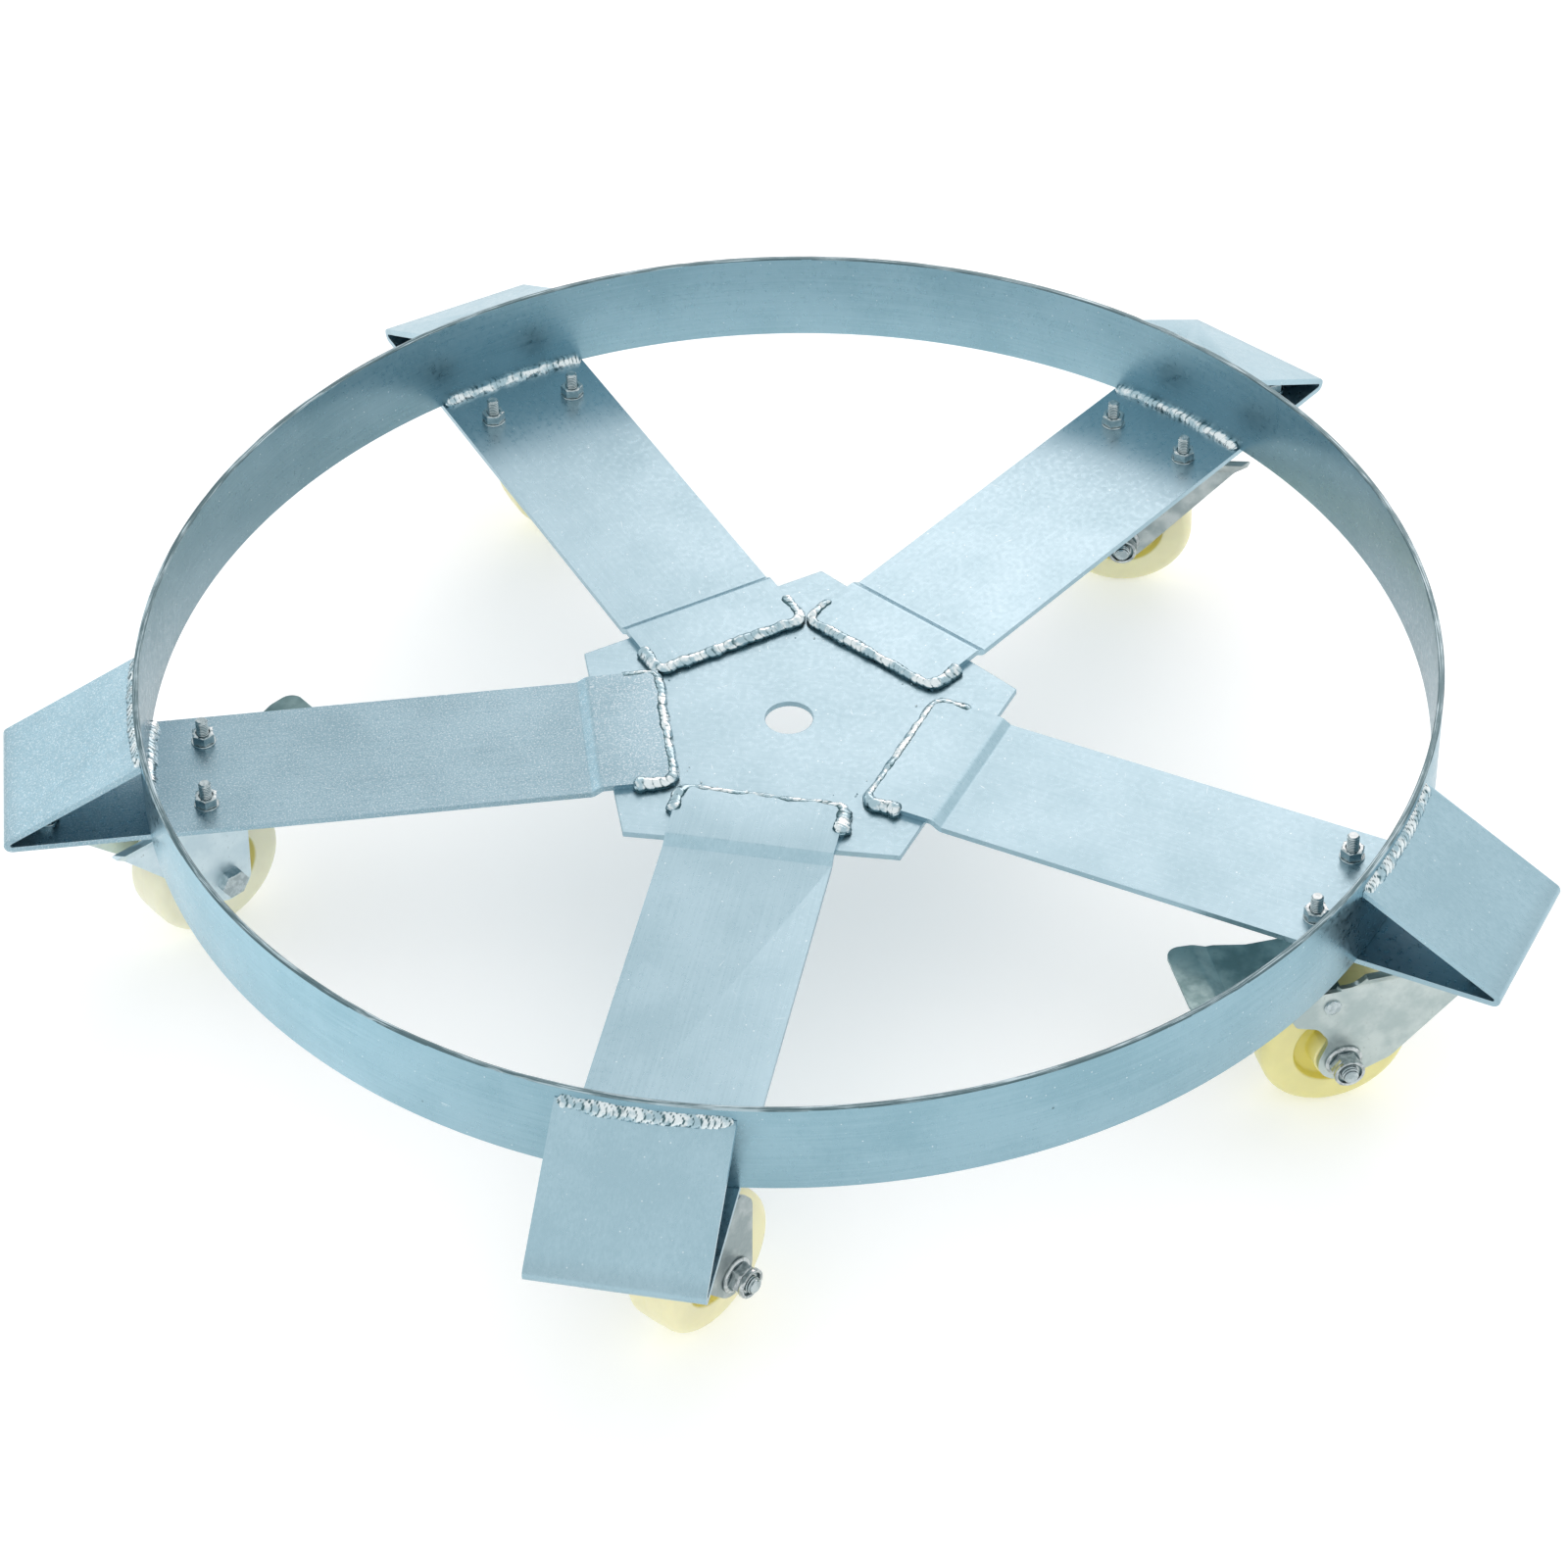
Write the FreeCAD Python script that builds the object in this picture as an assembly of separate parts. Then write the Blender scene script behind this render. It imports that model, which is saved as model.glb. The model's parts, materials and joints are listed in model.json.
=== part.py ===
import FreeCAD, Part
import math
import os

# Five-armed drum dolly for a 200 litre steel drum, in millimetres, +Z up.
# The origin is the centre of the hub plate's hole, level with the faces that the drum stands on (z = 0).
# Five folded flat-bar arms join a pentagonal hub plate to a rolled ring, with a swivel caster under each.

Vector = FreeCAD.Vector
ORIGIN = Vector(0, 0, 0)
X_AXIS = Vector(1, 0, 0)
Y_AXIS = Vector(0, 1, 0)
Z_AXIS = Vector(0, 0, 1)

# ---- frame ----
STEEL = 3.0                    # flat bar and plate thickness
RING_INNER_R = 305.0           # 610 mm inside: a drum of about 585 mm with room to drop in
RING_OUTER_R = RING_INNER_R + STEEL
RING_HEIGHT = 48.0
HUB_CORNER_R = 111.0           # pentagon plate, centre to corner, one corner on +Y
HUB_FLAT_R = HUB_CORNER_R * math.cos(math.radians(36))
CENTRE_HOLE_R = 11.5
ARM_WIDTH = 80.0
ARM_START_R = 59.0             # inner end, lying on the hub plate
JOGGLE_START_R = HUB_FLAT_R + 3.6   # clears the plate's edge under an arm that stands a few degrees off
JOGGLE_RUN = 4.5               # length over which the bar steps down
JOGGLE_BEND_R = 3.5
FOLD_REACH = 373.5             # outermost point of the folded end
FOLD_OUTER_R = 4.0
FLAP_TOP = 40.5                # height at which the flap's outer face meets the ring
SEAT_GAP = 0.1                 # gap between a cut edge and the curved bar that it meets

# ---- weld beads ----
HUB_BEAD = 4.6
RING_BEAD = 4.5
FLAP_BEAD_RISE = 6.0
FLAP_BEAD_RUN = 5.5
FLAP_BEAD_SINK = 0.6

# ---- mounting bolts, M6 ----
INNER_BOLTS = -32.5            # along the arm, from the swivel axis
OUTER_BOLTS = 42.5
BOLT_SPAN_ACROSS = 45.0
SWIVEL_R = 311.0               # dolly's centre to a caster's swivel axis
BOLT_R = 2.95
BOLT_HOLE_R = 3.3
BOLT_HEAD_HEIGHT = 4.0
INNER_BOLT_TIP = 13.4          # stud ends above the arm's top face
OUTER_BOLT_TIP = 8.8           # short, to clear the flap above them
BOLT_CHAMFER = 0.6
M6_ACROSS_FLATS = 10.0
M6_NUT_HEIGHT = 5.0
WASHER_R = 6.0
WASHER_THICKNESS = 0.8
THREAD_GAP = 0.05              # radial gap between a thread and its nut, and on other tight pins

# ---- caster plate and raceway ----
PLATE_INNER_END = -43.0        # along the arm, from the swivel axis
PLATE_OUTER_END = 51.0
PLATE_WIDTH = 64.0
PLATE_THICKNESS = 3.0
PLATE_CORNER_R = 6.0
PLATE_TOP = -STEEL
PLATE_BOTTOM = PLATE_TOP - PLATE_THICKNESS
DISH_FLOOR_R = 12.0            # pressed recess that holds the kingpin's head
DISH_SLOPE = 3.0
DISH_JOIN_R = 18.0
KINGPIN_R = 5.95
KINGPIN_HEAD_R = 9.5
KINGPIN_HEAD_HEIGHT = 2.5
KINGPIN_FOOT_R = 8.5
KINGPIN_FOOT_HEIGHT = 2.5
CROWN_TOP = PLATE_BOTTOM - PLATE_THICKNESS - 0.6
CROWN_THICKNESS = 2.5
CROWN_BOTTOM = CROWN_TOP - CROWN_THICKNESS
CROWN_R = 30.0
LIP_WIDTH = 2.5
LIP_RISE = 2.4
BALL_R = 2.38
BALL_CIRCLE_R = 21.0
BALL_COUNT = 16
BALL_GAP = 0.3                 # balls turn with the fork and stay this far below the plate
BALL_CENTRE_Z = PLATE_BOTTOM - BALL_GAP - BALL_R

# ---- fork, wheel and axle; the wheel trails along local +X ----
TRAIL = 31.0
AXLE_Z = -69.0
WHEEL_R = 36.0
WHEEL_HALF_WIDTH = 13.0
HUB_HALF_WIDTH = 19.0
WHEEL_HUB_R = 13.0
GROOVE_OUTER_R = 21.0
GROOVE_FLOOR = 8.0             # half the web's thickness under the side groove
TREAD_ROUND = 5.0
RUNNING_GAP = 0.08
LEG_INNER_Y = 19.5
LEG_THICKNESS = 2.5
LEG_OUTER_Y = LEG_INNER_Y + LEG_THICKNESS
LEG_END_R = 12.0
LEG_REACH = 41.0               # how far a leg's upper corners stand from the swivel axis
FLARE_START_Y = 27.6           # where the sheet turns down from the crown
FLARE_START_R = 3.5
FLARE_END_Z = -22.0            # where it turns again into the flat leg
FLARE_END_R = 6.0
FLARE_BOTTOM = -24.0
SLEEVE_R = 6.0
SLEEVE_HALF_LENGTH = LEG_INNER_Y - THREAD_GAP
AXLE_R = 3.95
AXLE_HOLE_R = AXLE_R + THREAD_GAP * 2
M8_ACROSS_FLATS = 13.0
M8_HEAD_HEIGHT = 5.0
NUT_FLANGE_R = 8.95
NUT_FLANGE_HEIGHT = 1.8
NUT_HEX_HEIGHT = 5.6
NUT_COLLAR_R = 7.4
NUT_COLLAR_HEIGHT = 2.6
NUT_RECESS_R = 5.7
NUT_RECESS_DEPTH = 1.5
AXLE_TIP_Y = 34.4

# ---- foot brake ----
PIVOT_X = 38.3
PIVOT_Z = -33.0
RIVET_R = 2.2
RIVET_HEAD_R = 4.2
RIVET_HEAD_HEIGHT = 1.5
RIVET_FOOT_R = 3.4
RIVET_FOOT_HEIGHT = 0.9
PEDAL_THICKNESS = 1.8
PEDAL_START = 34.0
PEDAL_REACH = 105.5
PEDAL_HALF_WIDTH = 22.3
PEDAL_CORNER_R = 7.0
CHEEK_OUTER_Y = LEG_INNER_Y - 0.6
CHEEK_THICKNESS = 1.5
SHOE_THICKNESS = 1.5
SHOE_HALF_WIDTH = 9.0

# The frame is welded by hand: its arms stand up to 3.4 degrees off an even spacing of 72.
# name: (arm angle, trail angle at rest, side of the axle nut along local Y, braked)
CASTERS = {
    "front": (-93.1, 59.4, -1, False),
    "right": (-17.8, 202.6, 1, True),
    "back_right": (57.3, 184.7, 1, False),
    "back_left": (126.6, 36.0, 1, False),
    "left": (195.3, 48.6, 1, True),
}


# ---------------------------------------------------------------- profile helpers
def point(across, up):
    return Vector(across, 0, up)


def rounded_face(corners):
    """Closed outline in the XZ plane from (x, z, radius) corners; a radius of 0 is a sharp corner."""
    spans = []
    count = len(corners)
    for i, (x, z, radius) in enumerate(corners):
        here = point(x, z)
        if radius == 0:
            spans.append((here, None, here))
            continue
        previous = corners[i - 1]
        following = corners[(i + 1) % count]
        back = (point(previous[0], previous[1]) - here).normalize()
        ahead = (point(following[0], following[1]) - here).normalize()
        half = back.getAngle(ahead) / 2
        reach = radius / math.tan(half)
        inward = (back + ahead).normalize()
        crest = here + inward * (radius / math.sin(half) - radius)
        spans.append((here + back * reach, crest, here + ahead * reach))
    edges = []
    for i, (start, crest, end) in enumerate(spans):
        if crest is not None:
            edges.append(Part.Arc(start, crest, end).toShape())
        following = spans[(i + 1) % count][0]
        if (following - end).Length > 1e-6:
            edges.append(Part.LineSegment(end, following).toShape())
    return Part.Face(Part.Wire(edges))


def strip_face(path, thickness):
    """Section of a bent strip in the XZ plane, along (x, z, bend radius on the centre line) points."""
    half = thickness / 2
    sides = ([], [])
    last = len(path) - 1
    for i, (x, z, radius) in enumerate(path):
        here = point(x, z)
        before = here - point(path[i - 1][0], path[i - 1][1]) if i > 0 else None
        after = point(path[i + 1][0], path[i + 1][1]) - here if i < last else None
        first = (before or after).normalize()
        second = (after or before).normalize()
        normal_1 = Vector(-first.z, 0, first.x)
        normal_2 = Vector(-second.z, 0, second.x)
        shift = (normal_1 + normal_2) * (half / (1 + normal_1.dot(normal_2)))
        turn = first.x * second.z - first.z * second.x
        bend = math.copysign(half, turn) if radius else 0
        sides[0].append((here.x + shift.x, here.z + shift.z, radius - bend))
        sides[1].append((here.x - shift.x, here.z - shift.z, radius + bend))
    return rounded_face(sides[0] + sides[1][::-1])


def across(face, y_low, y_high):
    """The XZ face as a solid between two Y planes."""
    moved = face.copy()
    moved.translate(Vector(0, y_low, 0))
    return moved.extrude(Vector(0, y_high - y_low, 0))


def turned(corners, degrees=360):
    """An XZ outline turned about the Z axis."""
    return rounded_face(corners).revolve(ORIGIN, Z_AXIS, degrees)


def cylinder(radius, z_low, z_high):
    return Part.makeCylinder(radius, z_high - z_low, Vector(0, 0, z_low))


def hexagon(across_flats, z_low, z_high):
    radius = across_flats / math.sqrt(3)
    corners = []
    for i in range(7):
        angle = math.radians(60 * i)
        corners.append(Vector(radius * math.cos(angle), radius * math.sin(angle), z_low))
    return Part.Face(Part.makePolygon(corners)).extrude(Vector(0, 0, z_high - z_low))


def along_y(shape):
    """Turns a shape built on the Z axis so that its axis is +Y."""
    shape.rotate(ORIGIN, X_AXIS, -90)
    return shape


def at(shape, x, y, z):
    shape.translate(Vector(x, y, z))
    return shape


def turn_z(shape, degrees):
    shape.rotate(ORIGIN, Z_AXIS, degrees)
    return shape


def save(name, shape):
    shape.exportStep(os.path.join("parts", name + ".step"))


# ---------------------------------------------------------------- frame
def pentagon(z_low, z_high):
    """The hub plate's outline as a prism."""
    corners = []
    for i in range(6):
        angle = math.radians(90 + 72 * i)
        corners.append(Vector(HUB_CORNER_R * math.cos(angle), HUB_CORNER_R * math.sin(angle), z_low))
    return Part.Face(Part.makePolygon(corners)).extrude(Vector(0, 0, z_high - z_low))


def hub_plate():
    return pentagon(-STEEL, 0).cut(cylinder(CENTRE_HOLE_R, -STEEL, 0))


def ring():
    return cylinder(RING_OUTER_R, 0, RING_HEIGHT).cut(cylinder(RING_INNER_R, 0, RING_HEIGHT))


def flap_angle():
    """Slope of the flap, whose outer face is tangent to the fold and meets the ring at FLAP_TOP."""
    run = FOLD_REACH - FOLD_OUTER_R - RING_OUTER_R
    drop = FLAP_TOP - (FOLD_OUTER_R - STEEL)
    return math.atan2(drop, run) - math.asin(FOLD_OUTER_R / math.hypot(run, drop))


def bolt_places(*rows):
    """Bolt centres (x, y) under an arm that lies along +X, in rows this far from the swivel axis."""
    places = []
    for row in rows:
        for sideways in (-BOLT_SPAN_ACROSS / 2, BOLT_SPAN_ACROSS / 2):
            places.append((SWIVEL_R + row, sideways))
    return places


def arm():
    """One flat bar: on the hub plate, stepped down past its edge, under the ring and folded up to it."""
    centre_bend = FOLD_OUTER_R - STEEL / 2
    slope = flap_angle()
    corner_x = FOLD_REACH - FOLD_OUTER_R + centre_bend / math.tan(slope / 2)
    flap_end = RING_OUTER_R - STEEL
    path = [
        (ARM_START_R, STEEL / 2, 0),
        (JOGGLE_START_R, STEEL / 2, JOGGLE_BEND_R),
        (JOGGLE_START_R + JOGGLE_RUN, -STEEL / 2, JOGGLE_BEND_R),
        (corner_x, -STEEL / 2, centre_bend),
        (flap_end, -STEEL / 2 + (corner_x - flap_end) * math.tan(slope), 0),
    ]
    bar = across(strip_face(path, STEEL), -ARM_WIDTH / 2, ARM_WIDTH / 2)
    ring_space = cylinder(RING_OUTER_R + SEAT_GAP, 0, RING_HEIGHT)
    bar = bar.cut(ring_space.cut(cylinder(RING_INNER_R - STEEL, 0, RING_HEIGHT)))
    for x, y in bolt_places(INNER_BOLTS, OUTER_BOLTS):
        bar = bar.cut(at(cylinder(BOLT_HOLE_R, -STEEL, 0), x, y, 0))
    return bar


def hub_welds():
    """One bead that runs round the inner end of each arm, from plate edge to plate edge."""
    section = rounded_face([(0, 0, 0), (HUB_BEAD, 0, 0), (0, STEEL, 0)])
    half = ARM_WIDTH / 2
    side_length = HUB_CORNER_R - ARM_START_R
    end_bead = across(section, -half - HUB_BEAD, half + HUB_BEAD)
    end_bead.rotate(ORIGIN, Z_AXIS, 180)
    pieces = [at(end_bead, ARM_START_R, 0, 0)]
    for side in (-1, 1):
        bead = across(section, min(0, -side * side_length), max(0, -side * side_length))
        bead.rotate(ORIGIN, Z_AXIS, 90 * side)
        pieces.append(at(bead, ARM_START_R, half * side, 0))
        pieces.append(at(Part.makeCone(HUB_BEAD, 0, STEEL), ARM_START_R, half * side, 0))
    bead = pieces[0].multiFuse(pieces[1:])
    arm_foot = Part.makeBox(side_length, ARM_WIDTH, STEEL, Vector(ARM_START_R, -half, 0))
    angles = [settings[0] for settings in CASTERS.values()]
    beads = [turn_z(bead.copy(), angle) for angle in angles]
    feet = [turn_z(arm_foot.copy(), angle) for angle in angles]
    welds = beads[0].multiFuse(beads[1:]).common(pentagon(0, STEEL))
    return welds.cut(feet[0].multiFuse(feet[1:])).removeSplitter()


def ring_weld():
    """Bead along the inner foot of the ring, across one arm."""
    inner = RING_INNER_R - THREAD_GAP
    sweep = 2 * math.degrees(math.asin(ARM_WIDTH / 2 / RING_INNER_R))
    bead = turned([(inner, 0, 0), (inner, RING_BEAD, 0), (inner - RING_BEAD, 0, 0)], sweep)
    return turn_z(bead, -sweep / 2)


def flap_weld(bar):
    """Bead along the top of one flap, against the ring's outer face."""
    inner = RING_OUTER_R + SEAT_GAP
    outer = inner + FLAP_BEAD_RUN
    fall = FLAP_BEAD_RUN * math.tan(flap_angle())
    low = FLAP_TOP - FLAP_BEAD_SINK
    sweep = 2 * math.degrees(math.asin(ARM_WIDTH / 2 / RING_OUTER_R))
    section = [(inner, FLAP_TOP + FLAP_BEAD_RISE, 0), (inner, low, 0), (outer, low - fall, 0)]
    bead = turn_z(turned(section, sweep), -sweep / 2)
    return bead.cut(bar)


# ---------------------------------------------------------------- mounting fasteners
def mounting_bolt(tip):
    head = hexagon(M6_ACROSS_FLATS, PLATE_BOTTOM - BOLT_HEAD_HEIGHT, PLATE_BOTTOM)
    shank = turned([
        (0, PLATE_BOTTOM, 0),
        (BOLT_R, PLATE_BOTTOM, 0),
        (BOLT_R, tip - BOLT_CHAMFER, 0),
        (BOLT_R - BOLT_CHAMFER, tip, 0),
        (0, tip, 0),
    ])
    return head.fuse(shank)


def mounting_nut():
    nut = hexagon(M6_ACROSS_FLATS, WASHER_THICKNESS, WASHER_THICKNESS + M6_NUT_HEIGHT)
    return nut.cut(cylinder(BOLT_R + THREAD_GAP, 0, WASHER_THICKNESS + M6_NUT_HEIGHT))


def mounting_washer():
    return cylinder(WASHER_R, 0, WASHER_THICKNESS).cut(cylinder(BOLT_HOLE_R, 0, WASHER_THICKNESS))


def at_bolts(piece, *rows):
    """One copy at each bolt of the given rows under all five arms."""
    copies = []
    for angle, _, _, _ in CASTERS.values():
        for x, y in bolt_places(*rows):
            copies.append(turn_z(at(piece.copy(), x, y, 0), angle))
    return Part.makeCompound(copies)


# ---------------------------------------------------------------- caster, swivel axis on local Z
def caster_plate():
    half_width = PLATE_WIDTH / 2
    outline = rounded_face([
        (PLATE_INNER_END, -half_width, PLATE_CORNER_R),
        (PLATE_OUTER_END, -half_width, PLATE_CORNER_R),
        (PLATE_OUTER_END, half_width, PLATE_CORNER_R),
        (PLATE_INNER_END, half_width, PLATE_CORNER_R),
    ])
    outline.rotate(ORIGIN, X_AXIS, -90)
    outline.translate(Vector(0, 0, PLATE_BOTTOM))
    plate = outline.extrude(Vector(0, 0, PLATE_THICKNESS))
    floor = PLATE_BOTTOM
    dish = turned([
        (KINGPIN_R + THREAD_GAP, floor, 0),
        (DISH_FLOOR_R, floor, 0),
        (DISH_FLOOR_R + DISH_SLOPE, PLATE_TOP, 0),
        (DISH_JOIN_R, PLATE_TOP, 0),
        (DISH_JOIN_R, PLATE_BOTTOM, 0),
        (DISH_FLOOR_R + DISH_SLOPE, floor, 0),
        (DISH_FLOOR_R, floor - PLATE_THICKNESS, 0),
        (KINGPIN_R + THREAD_GAP, floor - PLATE_THICKNESS, 0),
    ])
    plate = plate.cut(cylinder(DISH_JOIN_R, PLATE_BOTTOM, PLATE_TOP)).fuse(dish).removeSplitter()
    for x, y in bolt_places(INNER_BOLTS, OUTER_BOLTS):
        plate = plate.cut(at(cylinder(BOLT_HOLE_R, PLATE_BOTTOM, PLATE_TOP), x - SWIVEL_R, y, 0))
    return plate


def kingpin():
    """Headed pin riveted into the plate's dish; its upset foot holds the fork up against the balls."""
    head_bottom = PLATE_BOTTOM + THREAD_GAP
    foot_top = CROWN_BOTTOM - BALL_GAP
    head = cylinder(KINGPIN_HEAD_R, head_bottom, head_bottom + KINGPIN_HEAD_HEIGHT)
    shank = cylinder(KINGPIN_R, foot_top, head_bottom)
    foot = cylinder(KINGPIN_FOOT_R, foot_top - KINGPIN_FOOT_HEIGHT, foot_top)
    return head.multiFuse([shank, foot])


def race_balls():
    balls = []
    for i in range(BALL_COUNT):
        ball = Part.makeSphere(BALL_R, Vector(BALL_CIRCLE_R, 0, BALL_CENTRE_Z))
        balls.append(turn_z(ball, 360 / BALL_COUNT * i))
    return Part.makeCompound(balls)


def tangent_point(x, z, side):
    """Where a line from (x, z) touches the rounded end of a leg; side -1 is the front edge."""
    run = TRAIL - x
    rise = AXLE_Z - z
    direction = math.atan2(rise, run) + side * math.asin(LEG_END_R / math.hypot(run, rise))
    length = math.sqrt(run * run + rise * rise - LEG_END_R * LEG_END_R)
    return x + length * math.cos(direction), z + length * math.sin(direction)


def leg_outline(with_ear):
    """Side view of a leg, without its rounded lower end. The ear carries the brake pedal."""
    points = [(-34, CROWN_BOTTOM, 0)]
    if with_ear:
        front_edge = [(-31, -33, 10), (8, -72.5, 12)]
        notch = [(38.5, -55, 6), (44.5, -46, 6)]
        rear_edge = notch + [(55, -42.5, 3), (60, -33, 5), (57, -22.5, 4), (27, -22.5, 4)]
    else:
        front_edge = []
        rear_edge = [(44.5, -31, 9)]
    points += front_edge
    front = tangent_point(points[-1][0], points[-1][1], -1)
    rear = tangent_point(rear_edge[0][0], rear_edge[0][1], 1)
    points += [(*front, 0), (TRAIL, AXLE_Z, 0), (*rear, 0)]
    return points + rear_edge + [(25, CROWN_BOTTOM, 0)]


def fork_leg(with_ear):
    """Sheet that leaves the crown's rim, slopes in and hangs down beside the wheel, on the +Y side."""
    middle_y = (LEG_INNER_Y + LEG_OUTER_Y) / 2
    crown_middle = CROWN_BOTTOM + CROWN_THICKNESS / 2
    bottom = AXLE_Z - LEG_END_R
    section = strip_face([
        (CROWN_R, crown_middle, 0),
        (FLARE_START_Y, crown_middle, FLARE_START_R),
        (middle_y, FLARE_END_Z, FLARE_END_R),
        (middle_y, bottom, 0),
    ], LEG_THICKNESS)
    sheet = across(section, -PEDAL_REACH, PEDAL_REACH)
    sheet.rotate(ORIGIN, Z_AXIS, 90)
    side_view = across(rounded_face(leg_outline(with_ear)), 0, CROWN_R)
    side_view = side_view.fuse(at(along_y(cylinder(LEG_END_R, 0, CROWN_R)), TRAIL, 0, AXLE_Z))
    below = cylinder(PEDAL_REACH, bottom, FLARE_BOTTOM)
    limit = below.fuse(cylinder(LEG_REACH, FLARE_BOTTOM, CROWN_BOTTOM))
    return sheet.common(side_view).common(limit)


def fork_crown():
    """Pressed disc with an upturned lip and a groove for the balls."""
    crown = cylinder(CROWN_R, CROWN_BOTTOM, CROWN_TOP)
    lip = cylinder(CROWN_R, CROWN_TOP, CROWN_TOP + LIP_RISE)
    crown = crown.fuse(lip.cut(cylinder(CROWN_R - LIP_WIDTH, CROWN_TOP, CROWN_TOP + LIP_RISE)))
    crown = crown.cut(cylinder(KINGPIN_R + RUNNING_GAP, CROWN_BOTTOM, CROWN_TOP))
    groove = Part.makeTorus(BALL_CIRCLE_R, BALL_R + THREAD_GAP)
    return crown.cut(at(groove, 0, 0, BALL_CENTRE_Z))


def fork(braked):
    """Pressed fork. The nut's side of a braked one has the wide leg with the pedal's ear."""
    plain_leg = fork_leg(False).mirror(ORIGIN, Y_AXIS)
    body = fork_crown().multiFuse([fork_leg(braked), plain_leg]).removeSplitter()
    axle_hole = at(along_y(cylinder(AXLE_HOLE_R, -CROWN_R, CROWN_R)), TRAIL, 0, AXLE_Z)
    body = body.cut(axle_hole)
    if braked:
        rivet_hole = along_y(cylinder(RIVET_R + THREAD_GAP, -CROWN_R, CROWN_R))
        body = body.cut(at(rivet_hole, PIVOT_X, 0, PIVOT_Z))
    return body


def wheel():
    bore = SLEEVE_R + RUNNING_GAP
    half_section = [
        (bore, HUB_HALF_WIDTH, 0),
        (WHEEL_HUB_R - 1, HUB_HALF_WIDTH, 1),
        (WHEEL_HUB_R, GROOVE_FLOOR, 1),
        (GROOVE_OUTER_R - 1, GROOVE_FLOOR, 1),
        (GROOVE_OUTER_R, WHEEL_HALF_WIDTH, 1),
        (WHEEL_R, WHEEL_HALF_WIDTH, TREAD_ROUND),
    ]
    mirrored = [(r, -h, radius) for r, h, radius in reversed(half_section)]
    return at(along_y(turned(half_section + mirrored)), TRAIL, 0, AXLE_Z)


def axle_sleeve():
    tube = cylinder(SLEEVE_R, -SLEEVE_HALF_LENGTH, SLEEVE_HALF_LENGTH)
    tube = tube.cut(cylinder(AXLE_HOLE_R, -SLEEVE_HALF_LENGTH, SLEEVE_HALF_LENGTH))
    return at(along_y(tube), TRAIL, 0, AXLE_Z)


def axle_bolt(nut_side):
    head = hexagon(M8_ACROSS_FLATS, -LEG_OUTER_Y - M8_HEAD_HEIGHT, -LEG_OUTER_Y)
    shank = turned([
        (0, -LEG_OUTER_Y, 0),
        (AXLE_R, -LEG_OUTER_Y, 0),
        (AXLE_R, AXLE_TIP_Y - BOLT_CHAMFER, 0),
        (AXLE_R - BOLT_CHAMFER, AXLE_TIP_Y, 0),
        (0, AXLE_TIP_Y, 0),
    ])
    return on_axle(head.fuse(shank), nut_side)


def axle_nut(nut_side):
    """Flanged hexagon nut with a round locking collar."""
    hex_start = LEG_OUTER_Y + NUT_FLANGE_HEIGHT
    collar_start = hex_start + NUT_HEX_HEIGHT
    flange = cylinder(NUT_FLANGE_R, LEG_OUTER_Y, hex_start)
    collar = cylinder(NUT_COLLAR_R, collar_start, collar_start + NUT_COLLAR_HEIGHT)
    nut = hexagon(M8_ACROSS_FLATS, hex_start, collar_start).multiFuse([flange, collar])
    nut_end = collar_start + NUT_COLLAR_HEIGHT
    nut = nut.cut(cylinder(NUT_RECESS_R, nut_end - NUT_RECESS_DEPTH, nut_end))
    nut = nut.cut(cylinder(AXLE_R + THREAD_GAP, LEG_OUTER_Y, AXLE_TIP_Y))
    return on_axle(nut, nut_side)


def on_axle(shape, nut_side):
    """Lays a piece built on the Z axis along the axle, with its +Z end on the nut's side."""
    along_y(shape)
    if nut_side < 0:
        shape.rotate(ORIGIN, Z_AXIS, 180)
    return at(shape, TRAIL, 0, AXLE_Z)


# ---------------------------------------------------------------- foot brake
def brake_pedal():
    """Pressed pedal: a plate that widens behind the fork, a raised end and two cheeks on the rivets."""
    start_z = -25.2
    section = strip_face([
        (PEDAL_START, start_z, 0),
        (85.5, -24.6, 3),
        (92.0, -21.9, 8),
        (PEDAL_REACH, -21.0, 0),
    ], PEDAL_THICKNESS)
    plate = across(section, -PEDAL_HALF_WIDTH, PEDAL_HALF_WIDTH)
    half_plan = [
        (PEDAL_START, CHEEK_OUTER_Y, 0),
        (67, CHEEK_OUTER_Y, 3),
        (82, PEDAL_HALF_WIDTH, 8),
        (PEDAL_REACH, PEDAL_HALF_WIDTH, PEDAL_CORNER_R),
    ]
    plan = rounded_face([(x, -y, radius) for x, y, radius in half_plan] + half_plan[::-1])
    plan.rotate(ORIGIN, X_AXIS, -90)
    plan.translate(Vector(0, 0, PIVOT_Z))
    plate = plate.common(plan.extrude(Vector(0, 0, -PIVOT_Z)))
    cheek_view = rounded_face([
        (PEDAL_START, start_z, 0), (66, -24.8, 0), (62, -30, 4), (45, -39.5, 4), (PEDAL_START, -39.5, 4),
    ])
    cheek = across(cheek_view, CHEEK_OUTER_Y - CHEEK_THICKNESS, CHEEK_OUTER_Y)
    body = plate.multiFuse([cheek, cheek.mirror(ORIGIN, Y_AXIS)]).removeSplitter()
    pivot = along_y(cylinder(RIVET_R + RUNNING_GAP, -PEDAL_HALF_WIDTH, PEDAL_HALF_WIDTH))
    return body.cut(at(pivot, PIVOT_X, 0, PIVOT_Z))


def brake_shoe():
    """Spring steel tongue under the pedal; its slanting foot comes down onto the tread."""
    section = strip_face([
        (52.0, -34.7, 0),
        (64.4, -43.1, 3),
        (70.5, -36.5, 3),
        (70.5, -24.8, 0),
    ], SHOE_THICKNESS)
    tongue = across(section, -SHOE_HALF_WIDTH, SHOE_HALF_WIDTH)
    return tongue.cut(brake_pedal())


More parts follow.
